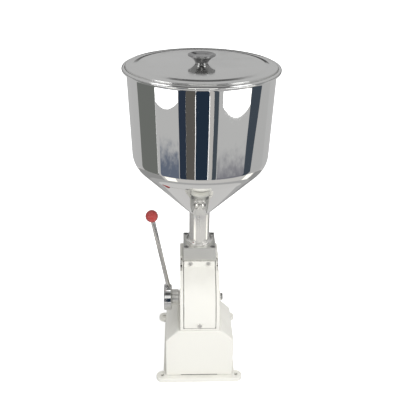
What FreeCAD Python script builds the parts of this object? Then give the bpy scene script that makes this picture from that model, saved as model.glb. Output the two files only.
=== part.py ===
import FreeCAD, Part
import math
import os
import re

import PartDesign
import Sketcher
from FreeCAD import Vector

# Manual liquid filling machine, in millimetres. The origin is on the floor under the hopper's axis. X runs to
# the right as seen from behind, Y runs to the front, where the liquid comes out, and Z runs up. The hopper
# feeds a vertical cylinder through a ball valve. A side lever turns a pinion, and the pinion drives a toothed
# rod that carries the piston, which sends each dose out through a second ball valve and a spout.

document = FreeCAD.newDocument("FillingMachine")
sheet = document.addObject("Spreadsheet::Sheet", "Sizes")

SIZES = {
    # foot plate
    "foot_thickness": 9,
    "foot_half_width": 74,
    "foot_rear_reach": 114,
    "foot_front_reach": 106.4,
    "foot_edge_round": 2,
    "lug_spread": 76.3,
    "lug_radius": 12.4,
    "lug_hole_radius": 3.5,
    "foot_screw_inset": 12,
    "foot_post_radius": 6,
    "foot_post_height": 22,
    # base of the casting
    "base_half_width": 68.5,
    "base_rear_reach": 103,
    "base_front_reach": 95,
    "base_height": 114,
    "base_wall": 7,
    "shoulder": 24,
    "shoulder_round": 10,
    "base_corner_round": 3,
    "crest_reach": 3,
    "apron_top": 62,
    "apron_height": 28,
    "drain_slot_width": 75,
    "drain_slot_height": 1.6,
    # column of the casting
    "column_height": 120,
    "column_half_width": 39,
    "column_front_reach": 39,
    "column_round": 4,
    "shelf_thickness": 8,
    "shelf_hole_gap": 0.3,
    "bridge_thickness": 18,
    "bridge_half_depth": 21,
    "boss_height": 1,
    "left_boss_radius": 17,
    "right_boss_radius": 13,
    "right_boss_height": 4.5,
    # rear cover
    "cover_thickness": 3.7,
    "cover_seat_gap": 0.3,
    "cover_side_gap": 0.7,
    "cover_rise": 1,
    "cover_knee_drop": 11,
    "cover_bulge_radius": 125,
    "cover_foot_setback": 3.5,
    "cover_foot_rise": 18,
    "cover_screw_lug_width": 18,
    "lug_seat": 6,
    "cover_foot_gap": 4,
    "cover_corner_round": 4,
    "cover_screw_spread": 18,
    "cover_screw_drop": 5,
    "cover_screw_rise": 7,
    # valve block
    "block_half_width": 32.25,
    "block_half_depth": 32,
    "block_height": 58,
    "block_rise": 30,
    "block_side_gap": 0.25,
    "block_edge_round": 1.2,
    "block_screw_inset": 6.2,
    "side_screw_drop": 11.5,
    "side_screw_setback": 19,
    "side_head_radius": 5.75,
    "side_pocket_depth": 4.4,
    "side_pocket_gap": 0.6,
    # cylinder and piston
    "bore_radius": 20,
    "liner_wall": 5,
    "liner_drop": 28,
    "seat_fit": 0.05,
    "liner_seal_drop": 8,
    "liner_seal_wire": 1,
    "liner_flange": 3,
    "liner_flange_thickness": 3,
    "piston_length": 14,
    "piston_head_gap": 1.5,
    "piston_fit": 0.05,
    "piston_seal_wire": 1.6,
    "piston_seal_spacing": 6,
    "piston_spigot_radius": 7,
    "piston_spigot_length": 7,
    # rack rod and pinion
    "gear_module": 2.5,
    "pinion_teeth": 20,
    "pinion_width": 18,
    "pinion_hub_radius": 14,
    "pinion_hub_length": 5,
    "tooth_thinning": 0.3,
    "rod_radius": 13,
    "rod_length": 132.5,
    "rod_chamfer": 1.5,
    "rack_gaps": 10,
    "rack_gaps_below": 2,
    "rack_flat_depth": 0.5,
    "rod_flat_margin": 10,
    "rod_guide_fit": 0.05,
    "guide_bush_wall": 5,
    "guide_bush_lip": 2,
    "guide_bush_lip_reach": 1.5,
    # drive shaft
    "shaft_height": 158,
    "shaft_radius": 8,
    "journal_radius": 5.5,
    "journal_start": 28,
    "shaft_fit": 0.05,
    "left_bush_wall": 4,
    "right_bush_wall": 3.5,
    "bush_lip": 2,
    "ring_nut_radius": 16,
    "ring_nut_length": 13.5,
    "ring_nut_neck_length": 2,
    "ring_nut_neck_radius": 13.5,
    "ring_nut_slots": 8,
    "ring_nut_slot_width": 5,
    "ring_nut_slot_depth": 1.5,
    "ring_nut_slot_length": 8,
    "end_screw_radius": 7.25,
    "end_screw_height": 4.2,
    "end_washer_thickness": 1.2,
    "end_play": 0.3,
    "key_width": 5,
    "key_height": 5,
    "key_fit": 0.05,
    # handle
    "hub_radius": 27,
    "hub_width": 16.5,
    "hub_gap": 0.3,
    "hub_edge_round": 1.5,
    "hub_recess_radius": 12,
    "hub_recess_depth": 4.3,
    "hub_washer_thickness": 2,
    "lever_tilt": 10.4,
    "lever_length": 172,
    "lever_start": 17,
    "lever_radius": 4.4,
    "lever_inset": 2.2,
    "ball_radius": 12.25,
    "ball_depth": 9,
    # dose stop
    "stop_arm_reach": 30,
    "stop_arm_half_width": 4.5,
    "stop_arm_thickness": 7,
    "stop_arm_gap": 1,
    "stop_screw_radius": 4,
    "stop_screw_rise": 22,
    "stop_screw_gap": 0.3,
    "stop_screw_outside": 9,
    "stop_head_radius": 8,
    "stop_head_height": 7,
    "lock_nut_radius": 7.5,
    "lock_nut_height": 5,
    # feed valve
    "chamber_radius": 10,
    "retainer_radius": 22,
    "retainer_thickness": 2.5,
    "retainer_fit": 0.1,
    "retainer_holes": 6,
    "retainer_hole_radius": 2.2,
    "feed_seat_radius": 16,
    "feed_seat_height": 5,
    "feed_seat_land": 4,
    "feed_opening_radius": 5.5,
    "feed_ball_radius": 7.5,
    "ball_seat_gap": 0.05,
    "spring_wire_radius": 0.55,
    "spring_coils": 4,
    "feed_spring_radius": 4.2,
    "feed_spring_room": 8,
    # feed pipe
    "pipe_radius": 20.4,
    "pipe_wall": 2.2,
    "pipe_spigot_radius": 18.5,
    "pipe_spigot_height": 3,
    "pipe_top": 339.5,
    "flange_radius": 27,
    "flange_thickness": 6,
    "flange_round": 1.5,
    "pipe_seal_radius": 21,
    "pipe_seal_wire": 1.2,
    # hopper
    "hopper_wall": 1.2,
    "hopper_mouth_radius": 132,
    "hopper_rim_top": 628.5,
    "hopper_rim_reach": 4.3,
    "hopper_bead_radius": 3.7,
    "hopper_taper": 4.6,
    "hopper_corner_top": 467.9,
    "hopper_corner_inset": 11.9,
    "hopper_corner_height": 28.4,
    "hopper_blend_radius": 42.8,
    "hopper_neck_length": 30,
    "hopper_neck_fit": 0.1,
    "hopper_flare_drop": 6,
    # lid
    "lid_rim_inset": 2.7,
    "lid_thickness": 1.5,
    "lid_edge_drop": 3.2,
    "lid_seat_gap": 0.3,
    "lid_step_height": 1.2,
    "lid_step_inset": 13.6,
    "lid_step_run": 8,
    "lid_skirt_depth": 10,
    "lid_skirt_gap": 0.8,
    "knob_neck_radius": 11.35,
    "knob_rim_radius": 24.35,
    "knob_height": 16,
    "knob_rim_height": 3,
    "knob_dish_depth": 3,
    "knob_rim_land": 2,
    "knob_screw_length": 10,
    "knob_flare_radius": 16,
    # discharge valve and spout
    "outlet_drop": 14.5,
    "outlet_bore_radius": 5,
    "elbow_neck_radius": 11,
    "elbow_thread_length": 14,
    "elbow_collar_radius": 15,
    "elbow_collar_length": 8,
    "elbow_reach": 62,
    "barrel_radius": 14,
    "barrel_crown": 13,
    "barrel_length": 42,
    "outlet_seat_drop": 6,
    "outlet_chamber_radius": 9,
    "outlet_ball_radius": 6.5,
    "outlet_spring_radius": 3.8,
    "spout_collar_radius": 15,
    "spout_collar_height": 8,
    "spout_spigot_height": 3,
    "spout_radius": 6,
    "spout_bore_radius": 3.5,
    "spout_length": 50,
    "outlet_seal_wire": 1,
    "outlet_seal_gap": 0.2,
    # screws
    "screw_radius": 3,
    "screw_clearance": 0.15,
    "socket_head_radius": 5,
    "socket_head_height": 6,
    "socket_radius": 2.6,
    "socket_depth_share": 0.55,
    "head_round_share": 0.15,
    "pan_head_radius": 4.5,
    "pan_head_height": 2.6,
    "short_screw_length": 14,
}

for row, (alias, size) in enumerate(SIZES.items(), 1):
    sheet.set(f"A{row}", alias)
    sheet.set(f"B{row}", str(size))
    sheet.setAlias(f"B{row}", alias)
document.recompute()


def bound(formula):
    """The formula with each size's name replaced by its cell in the sheet."""
    return re.sub(r"[a-z][a-z_]+",
                  lambda word: "Sizes." + word.group() if word.group() in SIZES else word.group(),
                  str(formula))


def value(formula):
    """The number that a formula of sizes gives."""
    return float(sheet.evalExpression(bound(formula)))


# Heights and places that follow from the sizes
BASE_TOP = "(foot_thickness + base_height)"
COLUMN_TOP = f"({BASE_TOP} + column_height)"
BLOCK_TOP = f"({COLUMN_TOP} + block_rise)"
BLOCK_FOOT = f"({BLOCK_TOP} - block_height)"
CHANNEL_HALF = "(block_half_width + block_side_gap)"
COVER_INNER = "(block_half_depth + cover_seat_gap)"
COVER_OUTER = f"({COVER_INNER} + cover_thickness)"
COVER_KNEE = f"({COLUMN_TOP} - cover_knee_drop)"
COVER_FOOT_Y = "(base_rear_reach - cover_foot_setback)"
COVER_FOOT_Z = f"({BASE_TOP} + cover_foot_rise)"
COVER_BOTTOM = f"({BASE_TOP} + cover_foot_gap)"
PITCH_RADIUS = "(gear_module * pinion_teeth / 2)"
RACK_PITCH = "(rod_radius - rack_flat_depth - gear_module)"
SHAFT_Y = f"(0 - {RACK_PITCH} - {PITCH_RADIUS})"
FEED_SEAT_FOOT = f"({BLOCK_TOP} - pipe_spigot_height - feed_seat_height)"
FEED_BALL_Z = f"({FEED_SEAT_FOOT} - ball_seat_gap - sqrt(feed_ball_radius ^ 2 - feed_opening_radius ^ 2))"
RETAINER_TOP = f"({FEED_BALL_Z} - feed_ball_radius - feed_spring_room)"
LINER_TOP = f"({RETAINER_TOP} - retainer_thickness)"
LINER_RADIUS = "(bore_radius + liner_wall)"
LINER_FOOT = f"({BLOCK_FOOT} - liner_drop)"
PISTON_TOP = f"({LINER_TOP} - piston_head_gap)"
PISTON_FOOT = f"({PISTON_TOP} - piston_length)"
ROD_FOOT = f"({PISTON_FOOT} - rod_length)"
OUTLET_Z = f"({BLOCK_TOP} - outlet_drop)"
OUTLET_SEAT_Z = f"({OUTLET_Z} - outlet_seat_drop)"
OUTLET_BALL_Z = f"({OUTLET_SEAT_Z} - ball_seat_gap - sqrt(outlet_ball_radius ^ 2 - outlet_bore_radius ^ 2))"
BARREL_FOOT = f"({OUTLET_Z} + barrel_crown - barrel_length)"
NUT_START = "(column_half_width + boss_height)"
NUT_END = f"({NUT_START} + ring_nut_neck_length + ring_nut_length)"
HUB_FACE = f"({NUT_END} + hub_gap)"
HUB_END = f"({HUB_FACE} + hub_width)"
SHAFT_LEFT = f"({HUB_END} - hub_recess_depth)"
SHAFT_RIGHT = "(column_half_width + right_boss_height + end_play)"
LEFT_BUSH_RADIUS = "(shaft_radius + shaft_fit + left_bush_wall)"
RIGHT_BUSH_RADIUS = "(journal_radius + shaft_fit + right_bush_wall)"
LEVER_X = f"(0 - {HUB_FACE} - lever_inset)"
RIM_RADIUS = "(hopper_mouth_radius + hopper_rim_reach)"
CORNER_TOP_RADIUS = "(hopper_mouth_radius - hopper_taper)"
CORNER_FOOT_RADIUS = f"({CORNER_TOP_RADIUS} - hopper_corner_inset)"
CORNER_FOOT = "(hopper_corner_top - hopper_corner_height)"
BEAD_Z = "(hopper_rim_top - hopper_bead_radius)"
LID_RADIUS = f"({RIM_RADIUS} - lid_rim_inset)"
LID_EDGE_Z = f"({BEAD_Z} + lid_seat_gap + sqrt(hopper_bead_radius ^ 2 - lid_rim_inset ^ 2))"
LID_TOP = f"({LID_EDGE_Z} + lid_edge_drop)"
KNOB_FOOT = f"({LID_TOP} + lid_step_height)"
STOP_SCREW_Z = "(shaft_height + stop_screw_rise)"
STOP_SCREW_X = "(pinion_width / 2 + stop_arm_gap + pinion_hub_length + stop_arm_thickness / 2)"
SEAL_Z = f"({BLOCK_TOP} - pipe_seal_wire)"

# The turn that carries Z, the way a cylinder grows, to each direction
TURNS = {
    "up": FreeCAD.Rotation(),
    "down": FreeCAD.Rotation(Vector(1, 0, 0), 180),
    "right": FreeCAD.Rotation(Vector(0, 1, 0), 90),
    "left": FreeCAD.Rotation(Vector(0, 1, 0), -90),
    "front": FreeCAD.Rotation(Vector(1, 0, 0), -90),
    "rear": FreeCAD.Rotation(Vector(1, 0, 0), 90),
}
parts = []


def new_body(label):
    """An empty body that becomes one node of the machine."""
    body = document.addObject("PartDesign::Body", label)
    body.Label = label
    parts.append(body)
    return body


def place(item, x=0, y=0, z=0, turn="up"):
    """Puts an item at x, y, z, each a formula of sizes, turned so that its Z points the way named."""
    item.Placement = FreeCAD.Placement(Vector(value(x), value(y), value(z)), TURNS[turn])
    for axis, formula in zip("xyz", (x, y, z)):
        if not isinstance(formula, (int, float)):
            item.setExpression("Placement.Base." + axis, bound(formula))
    return item


def arc_centre(start, end, radius, side):
    """The centre of an arc from start to end. It lies on the left of that way when side is 1, on the right
    when it is -1."""
    across = end - start
    height = math.sqrt(max(radius ** 2 - across.Length ** 2 / 4, 0))
    return (start + end) * 0.5 + Vector(-across.y, across.x, 0).normalize() * height * side


def add_loop(sketch, corners):
    """Draws a closed outline. A corner is (x, y), or (x, y, radius, side) where an arc leads on to the next
    corner."""
    first = sketch.GeometryCount
    points = [Vector(value(corner[0]), value(corner[1]), 0) for corner in corners]
    ends = []
    for corner, start, end in zip(corners, points, points[1:] + points[:1]):
        if len(corner) == 2:
            sketch.addGeometry(Part.LineSegment(start, end), False)
            ends.append((1, 2))
            continue
        radius, side = value(corner[2]), corner[3]
        centre = arc_centre(start, end, radius, side)
        begin, finish = (start, end) if side > 0 else (end, start)
        angles = [math.atan2(point.y - centre.y, point.x - centre.x) for point in (begin, finish)]
        circle = Part.Circle(centre, Vector(0, 0, 1), radius)
        sketch.addGeometry(Part.ArcOfCircle(circle, angles[0], angles[1]), False)
        ends.append((1, 2) if side > 0 else (2, 1))
    for index in range(len(corners)):
        after = (index + 1) % len(corners)
        sketch.addConstraint(Sketcher.Constraint(
            "Coincident", first + index, ends[index][1], first + after, ends[after][0]))
    for index, (corner, point) in enumerate(zip(corners, points)):
        for kind, size, formula in (("DistanceX", point.x, corner[0]), ("DistanceY", point.y, corner[1])):
            number = sketch.addConstraint(Sketcher.Constraint(kind, first + index, ends[index][0], size))
            sketch.setExpression(f"Constraints[{number}]", bound(formula))
        if len(corner) > 2:
            number = sketch.addConstraint(Sketcher.Constraint("Radius", first + index, value(corner[2])))
            sketch.setExpression(f"Constraints[{number}]", bound(corner[2]))


def add_circle(sketch, x, y, radius):
    """Draws a circle about x, y."""
    index = sketch.addGeometry(Part.Circle(Vector(value(x), value(y), 0), Vector(0, 0, 1), value(radius)),
                               False)
    for kind, place_in, formula in (("DistanceX", 3, x), ("DistanceY", 3, y)):
        number = sketch.addConstraint(Sketcher.Constraint(kind, index, place_in, value(formula)))
        sketch.setExpression(f"Constraints[{number}]", bound(formula))
    number = sketch.addConstraint(Sketcher.Constraint("Radius", index, value(radius)))
    sketch.setExpression(f"Constraints[{number}]", bound(radius))


def new_sketch(body, name, plane, loops=(), lift=None):
    """A sketch on one of the body's own planes, raised along the plane's normal by lift."""
    sketch = body.newObject("Sketcher::SketchObject", f"{body.Name}_{name}")
    support = [item for item in body.Origin.OriginFeatures if item.Role == plane + "_Plane"][0]
    sketch.AttachmentSupport = [(support, "")]
    sketch.MapMode = "FlatFace"
    if lift is not None:
        sketch.setExpression("AttachmentOffset.Base.z", bound(lift))
    for loop in loops:
        add_loop(sketch, loop)
    return sketch


def extrude(body, kind, name, sketch, length, second=None, symmetric=False):
    """A Pad or Pocket of a sketch. With second, it grows that far the other way as well."""
    feature = body.newObject("PartDesign::" + kind, f"{body.Name}_{name}")
    feature.Profile = sketch
    feature.setExpression("Length", bound(length))
    if second is not None:
        feature.SideType = "Two sides"
        feature.setExpression("Length2", bound(second))
    elif symmetric:
        feature.SideType = "Symmetric"
    sketch.Visibility = False
    document.recompute()
    return feature


def turn_about(body, kind, name, sketch, axis):
    """A Revolution or Groove of a sketch about its own H_Axis or V_Axis."""
    feature = body.newObject("PartDesign::" + kind, f"{body.Name}_{name}")
    feature.Profile = sketch
    feature.ReferenceAxis = (sketch, [axis])
    feature.Angle = 360
    document.recompute()
    return feature


def turned(label, outline, x=0, y=0, z=0, turn="up"):
    """A turned piece. The outline's corners are (radius, height), and its axis is the body's own Z."""
    body = new_body(label)
    turn_about(body, "Revolution", "form", new_sketch(body, "outline", "XZ", [outline]), "V_Axis")
    return place(body, x, y, z, turn)


def ring_outline(inner, outer, low, high):
    """The four corners of a plain ring's section."""
    return [(inner, low), (outer, low), (outer, high), (inner, high)]


def groove(body, name, outline):
    """Turns an outline of (radius, height) corners away from a piece, about its own Z."""
    return turn_about(body, "Groove", name, new_sketch(body, name + "_outline", "XZ", [outline]), "V_Axis")


def round_feature(body, name, cut, radius, length, x=0, y=0, z=0, turn="up"):
    """A cylinder added to a body, or cut from it, that starts at x, y, z and grows the way named."""
    kind = "SubtractiveCylinder" if cut else "AdditiveCylinder"
    feature = body.newObject("PartDesign::" + kind, f"{body.Name}_{name}")
    feature.setExpression("Radius", bound(radius))
    feature.setExpression("Height", bound(length))
    place(feature, x, y, z, turn)
    document.recompute()
    return feature


def box_feature(body, name, cut, low, size):
    """A box added to a body, or cut from it, from its low corner with its three sizes."""
    kind = "SubtractiveBox" if cut else "AdditiveBox"
    feature = body.newObject("PartDesign::" + kind, f"{body.Name}_{name}")
    for side, formula in zip(("Length", "Width", "Height"), size):
        feature.setExpression(side, bound(formula))
    place(feature, *low)
    document.recompute()
    return feature


# Edges and faces that lie within this distance count as being in the same place.
SAME_PLACE = 0.01


def edges_in(feature, low, high):
    """The names of the edges that lie wholly between two corners, each given as formulas."""
    low_corner = [value(formula) for formula in low]
    high_corner = [value(formula) for formula in high]
    names = []
    for number, edge in enumerate(feature.Shape.Edges, 1):
        box = edge.BoundBox
        starts, ends = (box.XMin, box.YMin, box.ZMin), (box.XMax, box.YMax, box.ZMax)
        inside = all(least - SAME_PLACE <= start and end <= most + SAME_PLACE
                     for least, most, start, end in zip(low_corner, high_corner, starts, ends))
        if inside:
            names.append(f"Edge{number}")
    return names


def soften(body, kind, name, edges, size):
    """A Fillet or Chamfer on the named edges of the body's last feature."""
    base = body.Tip
    feature = body.newObject("PartDesign::" + kind, f"{body.Name}_{name}")
    feature.Base = (base, edges)
    feature.setExpression("Radius" if kind == "Fillet" else "Size", bound(size))
    document.recompute()
    return feature


def group(label, shapes):
    """One node that holds several separate solids."""
    item = document.addObject("Part::Feature", label)
    item.Label = label
    item.Shape = Part.makeCompound(shapes)
    parts.append(item)
    return item


def posed(shape, x, y, z, turn="up"):
    """A copy of a shape at x, y, z, turned so that its Z points the way named."""
    copy = shape.copy()
    copy.Placement = FreeCAD.Placement(Vector(value(x), value(y), value(z)), TURNS[turn])
    return copy


def screw(head_radius, head_height, length):
    """A screw with a hexagon socket, whose head sits on z = 0 and whose shank points down."""
    top = value(head_height)
    head = Part.makeCylinder(value(head_radius), top)
    crown = [edge for edge in head.Edges if edge.BoundBox.ZMin > top - SAME_PLACE]
    head = head.makeFillet(top * value("head_round_share"), crown)
    shank = Part.makeCylinder(value("screw_radius"), value(length), Vector(0, 0, -value(length)))
    reach = value("socket_radius")
    floor = top * (1 - value("socket_depth_share"))
    points = []
    for step in range(7):
        turn = math.radians(60 * step)
        points.append(Vector(reach * math.cos(turn), reach * math.sin(turn), floor))
    socket = Part.Face(Part.makePolygon(points)).extrude(Vector(0, 0, top))
    return head.fuse(shank).cut(socket).removeSplitter()


def ball(label, radius, x=0, y=0, z=0):
    """A ball with its centre at x, y, z."""
    body = new_body(label)
    feature = body.newObject("PartDesign::AdditiveSphere", label + "_form")
    feature.setExpression("Radius", bound(radius))
    document.recompute()
    return place(body, x, y, z)


def spring(label, coil_radius, low, high, x, y):
    """A coil spring between two heights. Its wire has eight sides and the section of the round one."""
    wire_radius = value("spring_wire_radius")
    foot, top = value(low) + wire_radius, value(high) - wire_radius
    radius = value(coil_radius)
    rise = (top - foot) / value("spring_coils")
    way = Vector(0, 2 * math.pi * radius, rise).normalize()
    across = Vector(1, 0, 0)
    along = way.cross(across)
    sides = 8
    reach = wire_radius * math.sqrt(2 * math.pi / (sides * math.sin(2 * math.pi / sides)))
    points = []
    for side in range(sides + 1):
        turn = 2 * math.pi * (side + 0.5) / sides
        points.append(across * (radius + reach * math.cos(turn)) + along * (reach * math.sin(turn)))
    helix = Part.Wire(Part.makeHelix(rise, top - foot, radius).Edges)
    coil = helix.makePipeShell([Part.makePolygon(points)], True, True)
    return group(label, [posed(coil, x, y, foot)])


def torus(label, ring_radius, wire_radius, z):
    """A seal ring about the hopper's axis, with the centre of its wire at z."""
    body = new_body(label)
    sketch = new_sketch(body, "wire", "XZ")
    add_circle(sketch, ring_radius, 0, wire_radius)
    turn_about(body, "Revolution", "ring", sketch, "V_Axis")
    return place(body, 0, 0, z)


def hexagon(radius):
    """The corners of a hexagon about the origin."""
    return [(f"({radius}) * cos({60 * step})", f"({radius}) * sin({60 * step})") for step in range(6)]


def pattern(body, kind, name, feature, axis, count, span):
    """Repeats a feature round or along one of the body's own axes."""
    item = body.newObject("PartDesign::" + kind, f"{body.Name}_{name}")
    item.Originals = [feature]
    support = [origin for origin in body.Origin.OriginFeatures if origin.Role == axis + "_Axis"][0]
    if kind == "PolarPattern":
        item.Axis = (support, [""])
        item.Angle = 360
    else:
        item.Direction = (support, [""])
        item.setExpression("Length", bound(span))
    item.setExpression("Occurrences", bound(count))
    body.Tip = item
    document.recompute()
    return item


def foot_plate():
    """The bolted foot: a plate with a bar across each end whose rounded ends are the four lugs."""
    body = new_body("foot_plate")
    plate = [("-foot_half_width", "-foot_rear_reach"), ("foot_half_width", "-foot_rear_reach"),
             ("foot_half_width", "foot_front_reach"), ("-foot_half_width", "foot_front_reach")]
    extrude(body, "Pad", "plate", new_sketch(body, "outline", "XY", [plate]), "foot_thickness")
    ends = {"rear": "-foot_rear_reach + lug_radius", "front": "foot_front_reach - lug_radius"}
    for end, y in ends.items():
        box_feature(body, end + "_bar", False, ("-lug_spread", f"{y} - lug_radius", 0),
                    ("lug_spread * 2", "lug_radius * 2", "foot_thickness"))
        for side, x in (("left", "-lug_spread"), ("right", "lug_spread")):
            round_feature(body, f"{end}_{side}_lug", False, "lug_radius", "foot_thickness", x, y)
    rim = edges_in(body.Tip, ("-lug_spread - lug_radius", "-foot_rear_reach", "foot_thickness"),
                   ("lug_spread + lug_radius", "foot_front_reach", "foot_thickness"))
    soften(body, "Fillet", "edge", rim, "foot_edge_round")
    for end, y in ends.items():
        for side, x in (("left", "-lug_spread"), ("right", "lug_spread")):
            round_feature(body, f"{end}_{side}_hole", True, "lug_hole_radius", "foot_thickness", x, y)
    for number, (x, y) in enumerate(FOOT_SCREWS):
        round_feature(body, f"screw_hole_{number}", True, "screw_radius + screw_clearance",
                      "foot_thickness", x, y)
        round_feature(body, f"screw_recess_{number}", True, "pan_head_radius + screw_clearance * 2",
                      "pan_head_height + screw_clearance * 2", x, y)


FOOT_SCREWS = [(f"{side}(base_half_width - foot_screw_inset)", y) for side in ("", "0 - ")
               for y in ("-base_rear_reach + foot_screw_inset", "base_front_reach - foot_screw_inset")]
BLOCK_SCREWS = [(f"{across}(block_half_width - block_screw_inset)",
                 f"{along}(block_half_depth - block_screw_inset)")
                for across in ("", "0 - ") for along in ("", "0 - ")]
APRON_RUN = "(base_front_reach - crest_reach)"
APRON_FALL = "(apron_top - apron_height)"
APRON_DROP = f"(base_wall * sqrt({APRON_RUN} ^ 2 + {APRON_FALL} ^ 2) / {APRON_RUN})"
SHAFT_Z = "shaft_height"
SIDE_SCREW_Z = f"({COLUMN_TOP} - side_screw_drop)"
SIDE_POCKET_REACH = "(side_head_radius + side_pocket_gap)"


def base_outline(half_width, foot, top, shoulder):
    """The base seen from the rear: a box whose top corners are cut off."""
    return [(f"-{half_width}", foot), (half_width, foot), (half_width, f"{top} - {shoulder}"),
            (f"{half_width} - {shoulder}", top), (f"{shoulder} - {half_width}", top),
            (f"-{half_width}", f"{top} - {shoulder}")]


def apron_cut(inset, drop):
    """What the front wall and the sloping apron below it leave off the base, seen from the side."""
    crest = f"crest_reach - {inset}"
    top = f"{BASE_TOP} + base_wall"
    foot = f"foot_thickness + apron_height - {drop}"
    return [(crest, f"foot_thickness + apron_top - {drop}"), (crest, top),
            ("base_front_reach + base_wall", top),
            ("base_front_reach + base_wall", foot), ("base_front_reach", foot)]


def base_cavity():
    """The hollow under the casting's base, one wall inside it."""
    body = document.addObject("PartDesign::Body", "base_cavity")
    outline = base_outline("(base_half_width - base_wall)", "foot_thickness - 1",
                           f"({BASE_TOP} - base_wall)",
                           "(shoulder + base_wall * (sqrt(2) - 2))")
    extrude(body, "Pad", "block", new_sketch(body, "outline", "XZ", [outline]),
            "base_rear_reach - base_wall", "base_front_reach - base_wall")
    extrude(body, "Pocket", "apron", new_sketch(body, "apron_outline", "YZ",
                                                [apron_cut("base_wall", APRON_DROP)]),
            "base_half_width * 2", symmetric=True)
    return body


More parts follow.
